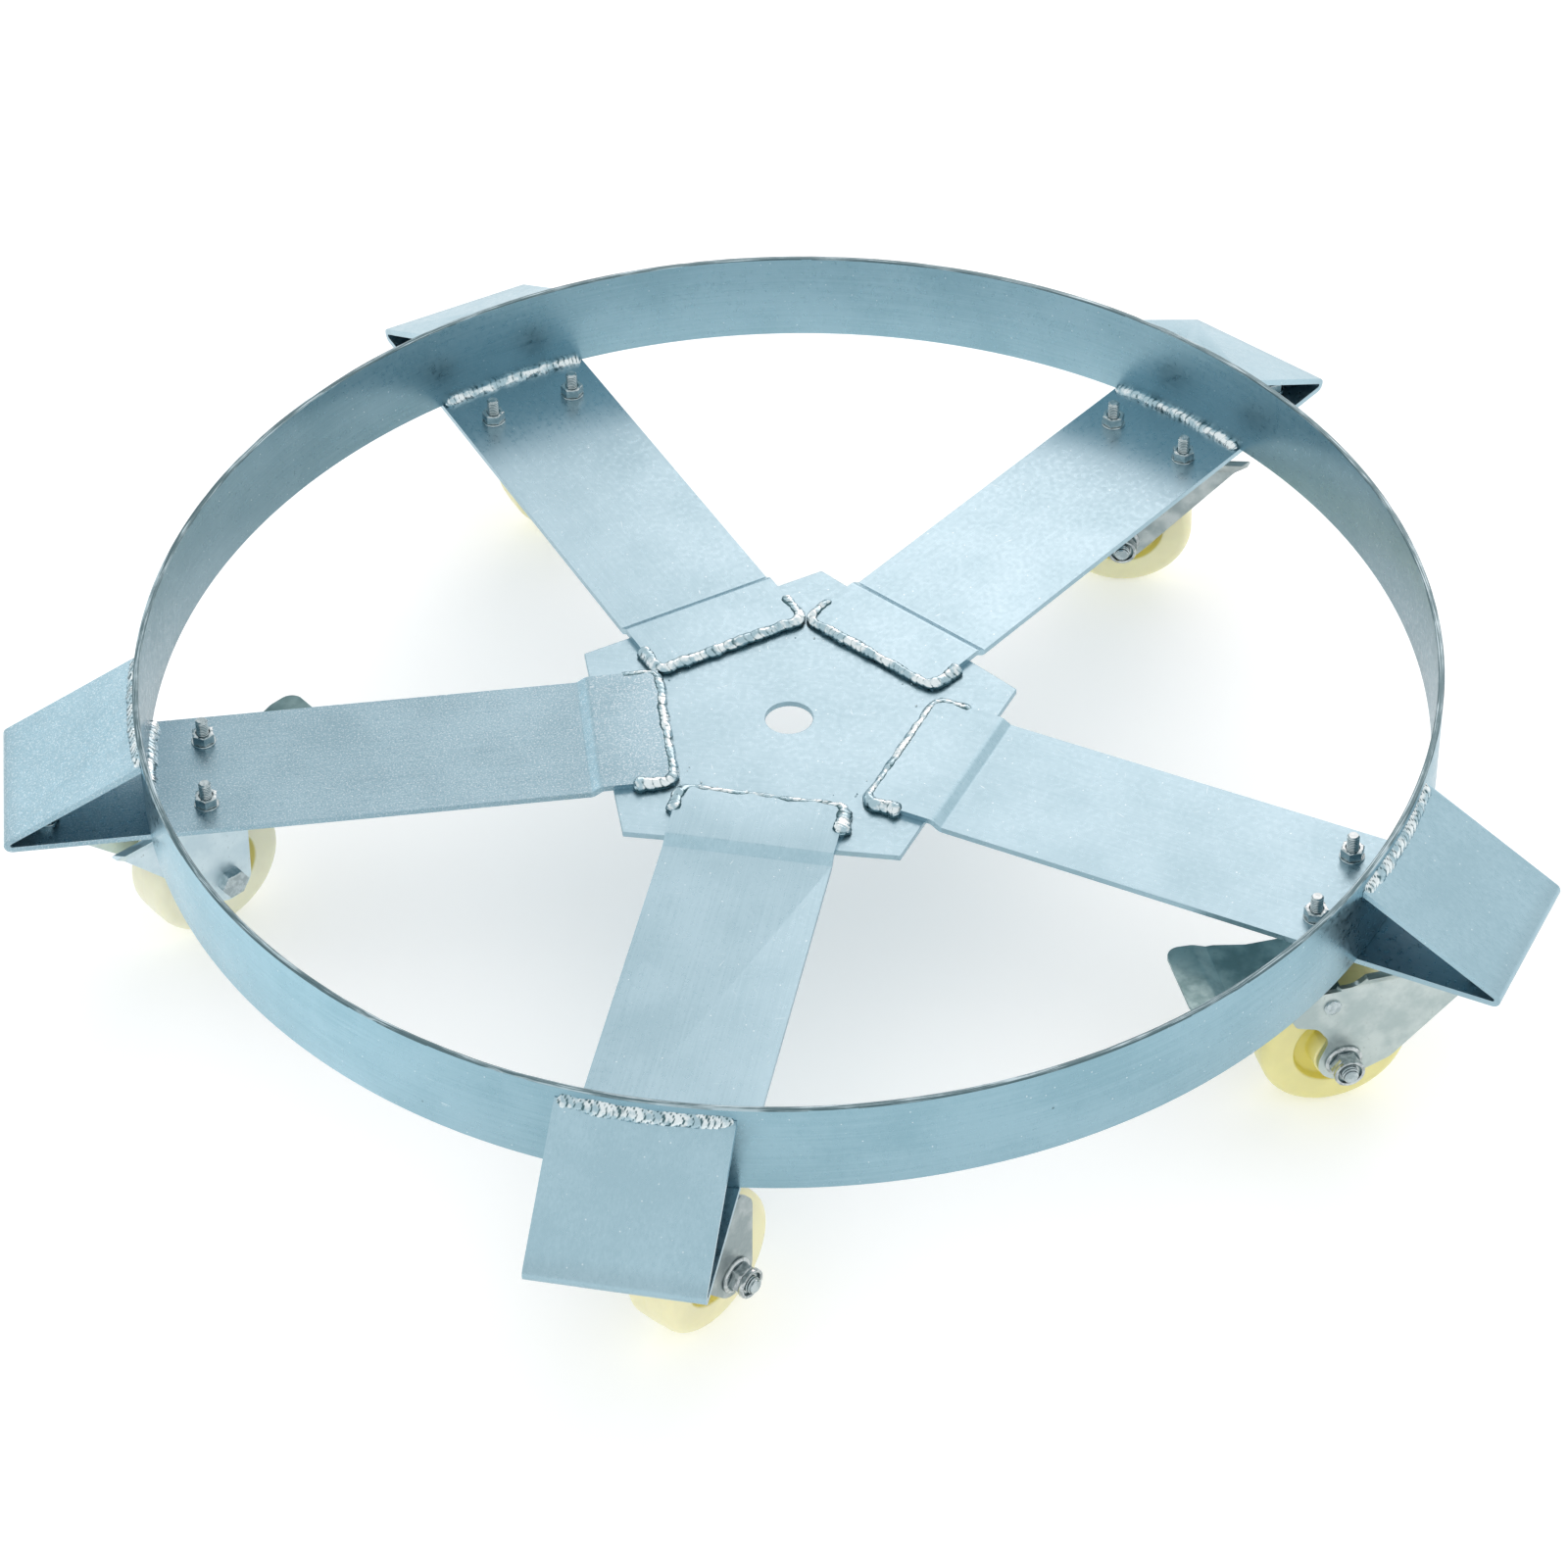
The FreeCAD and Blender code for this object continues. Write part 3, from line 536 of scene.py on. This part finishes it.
# ---------------------------------------------------------------- sheets from the CAD, with softened edges
def sheet_piece(node, body, material, place, width=0.4):
    """The CAD shape with its cut edges rounded off."""
    piece = finish_mesh(node + "_body", cad_copy(node), material, body, [node])
    write_place(piece, place)
    bevel = piece.modifiers.new("edges", "BEVEL")
    bevel.width = width * MM
    bevel.segments = 2
    bevel.limit_method = "ANGLE"
    bevel.angle_limit = math.radians(28)
    bevel.harden_normals = True
    return piece


def frame_sheets():
    for name in CASTERS:
        material = GRAINY_SHADED_ZINC if name == "left" else ARM_ZINC
        sheet_piece(name + "_arm", "frame", material, arm_place(name))
        sheet_piece(name + "_caster_plate", "frame", PLATE_STEEL, arm_place(name), 0.3)
        sheet_piece(name + "_fork", name + "_swivel", FORK_STEELS[name],
                    swivel_place(name), 0.35)
    for name in BRAKED:
        for part in ("_brake_pedal", "_brake_shoe"):
            sheet_piece(name + part, name + "_brake", PEDAL_STEEL, swivel_place(name), 0.3)
    sheet_piece("hub_plate", "frame", HUB_ZINC, Matrix.Identity(4))


def ring_piece():
    """The rolled rim: a flat bar on edge with rounded corners and a few nicks along its top."""
    inner, outer, height = RING_INNER_R / MM, RING_OUTER_R / MM, RING_HEIGHT / MM
    corner, nick_depth = 0.6, 0.8
    section = arc(outer - corner, corner, corner, -90, 0, 3)
    section += arc(outer - corner, height - corner, corner, 0, 90, 3)
    section += arc(inner + corner, height - corner, corner, 90, 180, 3)
    section += arc(inner + corner, corner, corner, 180, 270, 3)
    bm = bmesh.new()
    lofted(bm, section, Matrix.Identity(4), 360, closed=True)
    for vertex in bm.verts:
        if vertex.co.z > (height - 1) * MM:
            nick = noise.noise(vertex.co * 25) + 0.7 * noise.noise(vertex.co * 190)
            vertex.co.z -= max(0.0, nick - 0.35) * nick_depth * MM
    piece = finish_mesh("ring_body", bm, RING_ZINC, "frame", ["ring"])
    piece.data.materials.append(CUT_EDGE)
    for face in piece.data.polygons:
        if face.center.z > (height - corner * 0.8) * MM:
            face.material_index = 1
    write_rolled_place(piece)


# ---------------------------------------------------------------- weld beads
BEAD_STEP = 0.5 * MM
BEAD_SIDES = 20
BEAD_END_RUN = 2.4 * MM            # over which a bead's end swells to its girth
BEAD_WANDER = 0.8 * MM             # how far a bead strays sideways
VALLEY_SHARE = 0.2                 # of a ripple, to each side of the crease between two
RIM_START = 0.78                   # of the half width, where the painted shade along a bead's edge begins


def bead(bm, layer, path, girths, facing, half_width, half_depth, pitch, curl, crispness, seed):
    """
    A rope of weld metal along the path, built of overlapping crescent ripples, more or less crisp.
    facing(i) gives the direction that the bead bulges in and the direction across it.
    """
    count = len(path)
    rings = []
    run = 0.0
    for i, centre in enumerate(path):
        if i:
            run += (centre - path[i - 1]).length
        out, across = facing(i)
        from_end = min(i, count - 1 - i) * BEAD_STEP
        swell = min(1.0, math.sqrt(from_end / BEAD_END_RUN) * 0.9 + 0.12)
        wander = noise.noise(Vector((run * 110, seed, 0.3))) * BEAD_WANDER
        girth = girths[i] * swell * (1.0 + 0.25 * noise.noise(Vector((run * 170, seed, 5.1))))
        ring = []
        for k in range(BEAD_SIDES):
            angle = math.tau * k / BEAD_SIDES
            outward, sideways = math.cos(angle), math.sin(angle)
            shifted = run - curl * (1.0 - sideways * sideways)
            ripple = (shifted / pitch + 1.3 * noise.noise(Vector((run * 90, seed, 9.7)))) % 1.0
            valley = 1.0 - eased(min(ripple, 1.0 - ripple), 0.0, VALLEY_SHARE)
            lump = noise.noise(Vector((run * 190, sideways * 1.1 + seed, outward * 0.8)))
            relief = crispness * (0.15 * ripple - 0.2 * valley) + 0.3 * (1 - crispness) * lump
            grow = girth * (0.98 + relief)
            shift = out * (outward * half_depth * grow) + across * (sideways * half_width * grow + wander)
            vertex = bm.verts.new(centre + shift)
            # Painted shade: dark in the valleys between ripples, along the bead's edges and under sunken
            # lumps.
            rim = max(0.0, abs(sideways) - RIM_START) / (1.0 - RIM_START)
            dark = (0.2 + 0.6 * crispness) * valley + 0.85 * rim + max(0.0, -lump - 0.1) * 0.6
            vertex[layer] = min(1.0, dark)
            ring.append(vertex)
        rings.append(ring)
    for low, high in zip(rings, rings[1:]):
        for k in range(BEAD_SIDES):
            j = (k + 1) % BEAD_SIDES
            bm.faces.new((low[k], low[j], high[j], high[k]))
    bm.faces.new(rings[0][::-1])
    bm.faces.new(rings[-1])


def stepped(stations):
    """Points a bead step apart through (point, girth) stations, and the girth at each."""
    path, girths = [stations[0][0]], [stations[0][1]]
    for (start, start_girth), (end, end_girth) in zip(stations, stations[1:]):
        steps = max(1, round((end - start).length / BEAD_STEP))
        for i in range(1, steps + 1):
            path.append(start.lerp(end, i / steps))
            girths.append(start_girth + (end_girth - start_girth) * i / steps)
    return path, girths


def new_bead_mesh():
    bm = bmesh.new()
    return bm, bm.verts.layers.float.new("crease")


TURNED_CORNER = math.radians(54)


def side_bead_reach(place, side):
    """
    How far out along an arm's side its bead may run: to a pentagon of the hub plate's size, turned half a
    sector from the plate, whose edge lies inside the plate's own edge where the arms' sides cross it.
    """
    far = place @ Vector((FOLD_REACH, side * ARM_HALF_WIDTH, 0))
    near = place @ Vector((ARM_START_R, side * ARM_HALF_WIDTH, 0))
    low, high = 0.0, 1.0
    for _ in range(20):
        middle = (low + high) / 2
        point = near.lerp(far, middle)
        off_corner = (math.atan2(point.y, point.x) - TURNED_CORNER) % HUB_SECTOR
        off_middle = off_corner - HUB_SECTOR / 2
        inside = point.xy.length * math.cos(off_middle) < HUB_FLAT_R
        low, high = (middle, high) if inside else (low, middle)
    return ARM_START_R + low * (FOLD_REACH - ARM_START_R)


# Girth of the bead on each arm's -Y side, along its inner end and on its +Y side.
HUB_GIRTHS = {
    "front": (1.15, 0.72, 1.3),
    "right": (1.3, 0.8, 0.8),
    "back_right": (1.15, 0.95, 1.05),
    "back_left": (1.0, 1.1, 1.15),
    "left": (0.75, 0.95, 1.25),
}
CORNER_R = 6.0 * MM
CORNER_STEPS = 6
WELL_INSIDE = 25.0 * MM            # from an arm's inner end to a point that all its beads surround
HUB_BEAD_Z = 1.9 * MM
HUB_BEAD_END = 4 * MM              # short of that reach
HUB_BEAD_LEAN = 0.34               # how far a hub bead bulges away from the arm,
HUB_BEAD_LIFT = 0.94               # and how far up
# Half width, half depth, pitch of the ripples, how far they curl, and how crisp they are.
HUB_BEAD_SIZES = (2.8 * MM, 2.0 * MM, 3.6 * MM, 1.6 * MM, 0.35)
RING_BEAD_SIZES = (3.6 * MM, 2.5 * MM, 3.0 * MM, 1.6 * MM, 0.4)
FLAP_BEAD_SIZES = (4.7 * MM, 2.2 * MM, 3.6 * MM, 4.2 * MM, 0.85)


def corner_stations(side, first, last):
    """The bead's rounded turn at one corner of an arm's inner end, running from the side to the end."""
    centre = Vector((ARM_START_R + CORNER_R, side * (ARM_HALF_WIDTH - CORNER_R), HUB_BEAD_Z))
    stations = []
    for i in range(CORNER_STEPS + 1):
        angle = math.pi / 2 * i / CORNER_STEPS
        point = centre + CORNER_R * Vector((-math.sin(angle), side * math.cos(angle), 0))
        stations.append((point, first + (last - first) * i / CORNER_STEPS))
    return stations


def hub_beads():
    """Round each arm's inner end: in along one side, across the end and out along the other."""
    bm, layer = new_bead_mesh()
    for number, name in enumerate(CASTERS):
        place = arm_place(name)
        turn = place.to_3x3()
        near, end, far = HUB_GIRTHS[name]
        first = Vector((side_bead_reach(place, -1) - HUB_BEAD_END, -ARM_HALF_WIDTH, HUB_BEAD_Z))
        last = Vector((side_bead_reach(place, 1) - HUB_BEAD_END, ARM_HALF_WIDTH, HUB_BEAD_Z))
        stations = [(first, near * 1.15)] + corner_stations(-1, near, end)
        stations += corner_stations(1, far, end)[::-1] + [(last, far * 1.15)]
        flat, girths = stepped(stations)
        inside = Vector((ARM_START_R + WELL_INSIDE, 0, 0))

        def facing(i, flat=flat, turn=turn, inside=inside):
            ahead = (flat[min(i + 3, len(flat) - 1)] - flat[max(i - 3, 0)]).normalized()
            away = Vector((-ahead.y, ahead.x, 0))
            if away.dot(inside - flat[i]) > 0:
                away = -away
            out = HUB_BEAD_LEAN * away + HUB_BEAD_LIFT * UP
            across = HUB_BEAD_LEAN * UP - HUB_BEAD_LIFT * away
            return turn @ out, turn @ across

        path = [place @ point for point in flat]
        bead(bm, layer, path, girths, facing, *HUB_BEAD_SIZES, 13.7 * number + 2.1)
    return bm


def arc_bead(bm, layer, place, centre, out, sizes, girths, seed):
    """A bead round the rim across one arm, at a (radius, height), bulging along out (radial, up)."""
    radius, height = centre
    half = math.asin((ARM_HALF_WIDTH - 1.0 * MM) / radius)
    steps = round(2 * half * radius / BEAD_STEP)
    angles = [-half + 2 * half * i / steps for i in range(steps + 1)]
    path = [place @ Vector((radius * math.cos(a), radius * math.sin(a), height)) for a in angles]
    spread = [girths[0] + (girths[1] - girths[0]) * i / steps for i in range(steps + 1)]
    turn = place.to_3x3()

    def facing(i):
        radial = turn @ Vector((math.cos(angles[i]), math.sin(angles[i]), 0))
        return radial * out[0] + UP * out[1], UP * out[0] - radial * out[1]

    bead(bm, layer, path, spread, facing, *sizes, seed)


def ring_beads():
    """Along the inner foot of the ring, on top of each arm."""
    bm, layer = new_bead_mesh()
    centre = (RING_INNER_R - 0.8 * MM, 0.8 * MM)
    for number, name in enumerate(CASTERS):
        seed = 31.3 * number + 7.9
        arc_bead(bm, layer, arm_place(name), centre, (-0.7, 0.7), RING_BEAD_SIZES, (1.0, 1.0), seed)
    return bm


def flap_beads():
    """Along the top of each flap, against the ring's outer face."""
    bm, layer = new_bead_mesh()
    lean = math.radians(32)
    centre = (RING_OUTER_R + 0.6 * MM, FLAP_TOP + 0.2 * MM)
    out = (math.cos(lean), math.sin(lean))
    for number, name in enumerate(CASTERS):
        seed = 17.9 * number + 4.4
        arc_bead(bm, layer, arm_place(name), centre, out, FLAP_BEAD_SIZES, (1.0, 0.85), seed)
    return bm


def spatter(bm, layer):
    """Small beads of weld thrown onto the hub plate beside the arms' corners."""
    source = random.Random(7)
    for name in CASTERS:
        place = arm_place(name)
        for _ in range(5):
            side = source.choice((-1, 1))
            x = ARM_START_R - source.uniform(2, 9) * MM
            y = side * source.uniform(22, 46) * MM
            size = source.uniform(0.25, 0.55)
            spot = place @ Matrix.Translation((x, y, 0))
            before = len(bm.verts)
            drop = [(size, -0.2), (size, size * 0.3), (size * 0.75, size * 0.8), (size * 0.2, size)]
            lofted(bm, drop, spot, 8)
            bm.verts.ensure_lookup_table()
            for vertex in bm.verts[before:]:
                vertex[layer] = 0.3


def weld_pieces():
    hub = hub_beads()
    spatter(hub, hub.verts.layers.float["crease"])
    finish_mesh("hub_bead_metal", hub, WELD, "frame", ["hub_welds"], 60)
    finish_mesh("ring_bead_metal", ring_beads(), WELD, "frame", ["ring_welds"], 60)
    finish_mesh("flap_bead_metal", flap_beads(), WELD, "frame", ["flap_welds"], 60)


# ---------------------------------------------------------------- mounting fasteners, M6
M6_WIDTH = 10.0
M6_R = 2.95
M6_PITCH = 1.0
M6_ROOT = 0.42                     # depth of the thread
M6_POINT = 0.5                     # length of the stud's turned end
WASHER_HOLE_R = 3.3
WASHER_R = 6.0
WASHER_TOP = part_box("mounting_washers")[1].z / MM
NUT_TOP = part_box("mounting_nuts")[1].z / MM
HEAD_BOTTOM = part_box("inner_mounting_bolts")[0].z / MM
DISH_CLEAR_Y = 20.0                # beyond the pressed dish of a caster plate, across the arm
PLATE_BOTTOM = local_box("front_caster_plate", arm_place("front"), lambda point: point.y > DISH_CLEAR_Y)[0][2]


def first_bolt(node):
    """Where the front arm's bolt on its +Y side stands: along the arm and across it."""
    def keep(point):
        return point.x > 0 and 0 < point.y < ARM_HALF_WIDTH / MM

    low, high = local_box(node, arm_place("front"), keep)
    return (low[0] + high[0]) / 2 * MM, (low[1] + high[1]) / 2 * MM


def bolt_places(node, seed):
    """Each of the node's bolts' own frame, with its hexagon turned a little differently."""
    row, half_span = first_bolt(node)
    source = random.Random(seed)
    places = []
    for name in CASTERS:
        for side in (-1, 1):
            shift = Matrix.Translation((row, side * half_span, 0))
            twist = Matrix.Rotation(source.uniform(0, math.tau), 4, "Z")
            places.append(arm_place(name) @ shift @ twist)
    return places


def finish_fasteners(name, bm, node):
    mark_hollows(bm)
    finish_mesh(name, bm, FASTENER, "frame", [node], 30)


def mounting_bolts(node, places):
    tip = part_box(node)[1].z / MM
    thread_end = tip - M6_POINT
    bm = bmesh.new()
    for place in places:
        head = chamfered_hex(M6_WIDTH, HEAD_BOTTOM, PLATE_BOTTOM, chamfer_high=False)
        shank = [(M6_R, PLATE_BOTTOM), (M6_R, WASHER_TOP)]
        thread = threads(M6_R, WASHER_TOP, thread_end, M6_PITCH, M6_ROOT)
        end = [(M6_R - M6_ROOT, thread_end), (M6_R - M6_ROOT - 0.3, tip)]
        lofted(bm, head + shank + thread + end, place)
    finish_fasteners(node + "_set", bm, node)


def mounting_fasteners():
    inner = bolt_places("inner_mounting_bolts", 3)
    outer = bolt_places("outer_mounting_bolts", 5)
    mounting_bolts("inner_mounting_bolts", inner)
    mounting_bolts("outer_mounting_bolts", outer)
    nuts, washers = bmesh.new(), bmesh.new()
    for place in inner + outer:
        bore = M6_R + 0.05
        nut = chamfered_hex(M6_WIDTH, WASHER_TOP, NUT_TOP)
        nut += [(bore + 0.6, NUT_TOP), (bore, NUT_TOP - 0.5), (bore, WASHER_TOP)]
        lofted(nuts, nut, place, closed=True)
        washer = [(WASHER_HOLE_R, 0), (WASHER_R - 0.15, 0), (WASHER_R, 0.15), (WASHER_R, WASHER_TOP - 0.2),
                  (WASHER_R - 0.2, WASHER_TOP), (WASHER_HOLE_R, WASHER_TOP)]
        lofted(washers, washer, place, closed=True)
    finish_fasteners("mounting_nut_set", nuts, "mounting_nuts")
    finish_fasteners("mounting_washer_set", washers, "mounting_washers")


# ---------------------------------------------------------------- wheels and axles
WHEEL_R = -FLOOR_Z / MM + AXLE_Z / MM
BORE_R = 6.08
GROOVE_SPAN = (13.2, 21.2)         # radii of the wheel's side groove
GROOVE_TOP = 12.4                  # from the wheel's middle
M8_WIDTH = 13.0
M8_R = 3.95
M8_PITCH = 1.25
M8_ROOT = 0.45
AXLE_ENDS = local_box("front_axle_bolt", axle_place("front", nut_side("front")))
HEAD_END = AXLE_ENDS[0][2]
AXLE_TIP = AXLE_ENDS[1][2]
LEG_OUTER = local_box("front_axle_nut", axle_place("front", nut_side("front")))[0][2]
RIVET_R = 2.2


def wheel_half():
    """Half the wheel's section, from the bore's edge on one face to the middle of the tread."""
    boss = [(BORE_R, 18.7), (BORE_R + 0.3, 19.0), (12.2, 19.0)] + arc(12.2, 18.2, 0.8, 80, 0, 3)
    groove = [(13.4, 9.6)] + arc(14.9, 9.6, 1.5, 180, 270, 4) + arc(19.0, 9.6, 1.5, -90, 0, 4)
    rim = [(20.9, 12.2)] + arc(21.9, 12.2, 0.9, 180, 90, 3) + [(26.0, 13.0)]
    shoulder = arc(WHEEL_R - 5.3, 7.9, 5.1, 90, 8, 9)
    tread = [(WHEEL_R - 0.12, 5.0), (WHEEL_R, 2.0), (WHEEL_R, 0.35)]
    return boss + groove + rim + shoulder + tread


def wheel_piece(name):
    half = wheel_half()
    bm = bmesh.new()
    section = half + [(WHEEL_R - 0.1, 0.0)] + [(r, -z) for r, z in reversed(half)]
    lofted(bm, section, axle_place(name), 96, closed=True)
    # Marks the side groove for the nylon's painted shade.
    layer = bm.verts.layers.float.new("depth")
    inverse = axle_place(name).inverted()
    for vertex in bm.verts:
        local = (inverse @ vertex.co) / MM
        radius = local.xy.length
        in_groove = GROOVE_SPAN[0] < radius < GROOVE_SPAN[1] and abs(local.z) < GROOVE_TOP
        vertex[layer] = 1.0 if in_groove else 0.0
    finish_mesh(name + "_wheel_body", bm, NYLONS[name], name + "_roller",
                [name + "_wheel"], 50)


def axle_pieces(name):
    side = nut_side(name)
    place = axle_place(name, side)
    bolt = bmesh.new()
    head = chamfered_hex(M8_WIDTH, HEAD_END, -LEG_OUTER, chamfer_high=False)
    thread_start = LEG_OUTER + 1
    rings = [(5.4, HEAD_END + 0.25)] + head + [(M8_R, -LEG_OUTER), (M8_R, thread_start)]
    rings += threads(M8_R, thread_start, AXLE_TIP - 0.9, M8_PITCH, M8_ROOT)
    rings += [(3.45, AXLE_TIP - 0.6), (2.9, AXLE_TIP)]
    lofted(bolt, rings, place, 48)
    mark_hollows(bolt)
    finish_mesh(name + "_axle_bolt_body", bolt, FASTENER, name + "_swivel",
                [name + "_axle_bolt"], 30)
    nut = bmesh.new()
    base = LEG_OUTER
    flange = [(4.0, base), (8.6, base), (8.95, base + 0.35), (8.9, base + 1.0), (8.3, base + 1.5),
              (7.8, base + 1.75)]
    hexagon = [(M8_WIDTH - 0.1, base + 1.8, "hex"), (M8_WIDTH, base + 2.0, "hex"),
               (M8_WIDTH, base + 6.8, "hex"), (M8_WIDTH - 0.2, base + 7.2, "hex"), (6.9, base + 7.4)]
    collar = [(7.25, base + 7.5), (7.4, base + 7.8), (7.4, base + 8.6), (7.35, base + 9.3)]
    collar += arc(6.75, base + 9.4, 0.6, 0, 120, 4)
    recess = [(5.9, base + 9.7), (5.7, base + 9.3), (5.7, base + 8.6), (4.0, base + 8.5)]
    lofted(nut, flange + hexagon + collar + recess, place, 48, closed=True)
    mark_hollows(nut)
    finish_mesh(name + "_axle_nut_body", nut, CHROME, name + "_swivel",
                [name + "_axle_nut"], 30)


def rivet_pieces(name):
    """Short rivets with a slightly domed head on the ear's side and a flush end on the plain leg's."""
    pivot = Vector(JOINTS[name + "_pedal_tilt"]["pos_m"])
    local = swivel_place(name).inverted() @ pivot
    bm = bmesh.new()
    for side, head in ((1, True), (-1, False)):
        turn = Matrix.Rotation(math.radians(-90 * side), 4, "X")
        place = swivel_place(name) @ Matrix.Translation(local) @ turn
        foot = [(3.0, 16.4), (3.4, 16.6), (3.4, 17.3), (RIVET_R, 17.3), (RIVET_R, LEG_OUTER)]
        domed = [(4.2, LEG_OUTER), (4.2, LEG_OUTER + 0.7), (3.9, LEG_OUTER + 1.1), (3.0, LEG_OUTER + 1.35),
                 (1.2, LEG_OUTER + 1.5)]
        flush = [(1.9, LEG_OUTER + 0.05)]
        lofted(bm, foot + (domed if head else flush), place, 32)
    mark_hollows(bm)
    finish_mesh(name + "_pedal_rivet_pair", bm, FASTENER, name + "_swivel",
                [name + "_pedal_rivets"], 30)


frame_sheets()
ring_piece()
weld_pieces()
mounting_fasteners()
for caster in CASTERS:
    wheel_piece(caster)
    axle_pieces(caster)
for caster in BRAKED:
    rivet_pieces(caster)

for node_name, node_object in frame["nodes"].items():
    if node_name.endswith(("kingpin", "race_balls", "axle_sleeve")):
        node_object.data.materials.clear()
        node_object.data.materials.append(FASTENER)


# ---------------------------------------------------------------- stage, lights and camera
def floor():
    material, tree, shader = start_material("pale_floor")
    shader.inputs["Base Color"].default_value = colour(0.86, 0.87, 0.87)
    shader.inputs["Emission Color"].default_value = colour(1.0, 1.0, 1.0)
    shader.inputs["Emission Strength"].default_value = 0.28
    shader.inputs["Roughness"].default_value = 0.9
    shader.inputs["Specular IOR Level"].default_value = 0.0
    bm = bmesh.new()
    bmesh.ops.create_grid(bm, x_segments=1, y_segments=1, size=8.0)
    bmesh.ops.translate(bm, verts=bm.verts, vec=(0, 0, FLOOR_Z - 0.2 * MM))
    mesh = bpy.data.meshes.new("floor")
    bm.to_mesh(mesh)
    bm.free()
    mesh.materials.append(material)
    plane = bpy.data.objects.new("floor", mesh)
    bpy.context.scene.collection.objects.link(plane)


def area_light(name, place, target, size, power, tint=(1, 1, 1)):
    data = bpy.data.lights.new(name, "AREA")
    data.shape = "RECTANGLE"
    data.size, data.size_y = size
    data.energy = power
    data.color = tint
    light = bpy.data.objects.new(name, data)
    light.location = place
    light.rotation_euler = (Vector(target) - Vector(place)).to_track_quat("-Z", "Y").to_euler()
    bpy.context.scene.collection.objects.link(light)


def world_light():
    world = bpy.data.worlds.new("studio")
    bpy.context.scene.world = world
    world.use_nodes = True
    background = world.node_tree.nodes["Background"]
    background.inputs["Color"].default_value = colour(0.99, 1.0, 1.0)
    background.inputs["Strength"].default_value = 1.02


AZIMUTH = math.radians(9.34)
ELEVATION = math.radians(42.03)
DISTANCE = 2.33847
ROLL = math.radians(-1.43)
AIM_RIGHT = -2.42 * MM
AIM_UP = -31.74 * MM
LENS_MM = 112.34
SENSOR_MM = 36.0


def camera():
    data = bpy.data.cameras.new("camera")
    data.sensor_width = SENSOR_MM
    data.lens = LENS_MM
    data.clip_start = 0.05
    back = Vector((math.sin(AZIMUTH) * math.cos(ELEVATION), -math.cos(AZIMUTH) * math.cos(ELEVATION),
                   math.sin(ELEVATION)))
    right = (-back).cross(UP).normalized()
    up = right.cross(-back)
    rolled_right = right * math.cos(ROLL) + up * math.sin(ROLL)
    rolled_up = up * math.cos(ROLL) - right * math.sin(ROLL)
    place = back * DISTANCE + rolled_right * AIM_RIGHT + rolled_up * AIM_UP
    rotation = Matrix((rolled_right, rolled_up, back)).transposed().to_4x4()
    camera_object = bpy.data.objects.new("camera", data)
    camera_object.matrix_world = Matrix.Translation(place) @ rotation
    bpy.context.scene.collection.objects.link(camera_object)
    bpy.context.scene.camera = camera_object


floor()
world_light()
BACK_SOFTBOX = Vector((0.5, 2.2, 1.5))
LEFT_SOFTBOX = Vector((-1.9, 1.35, 0.75))
WARM = (1.0, 0.76, 0.70)
area_light("back_softbox", BACK_SOFTBOX, BACK_SOFTBOX - Vector((0, 1, 0)), (2.2, 1.7), 17.0, WARM)
area_light("left_softbox", LEFT_SOFTBOX, (-0.3, -0.05, 0.0), (1.0, 0.6), 1.3)
camera()
bpy.context.scene.view_settings.view_transform = "Standard"
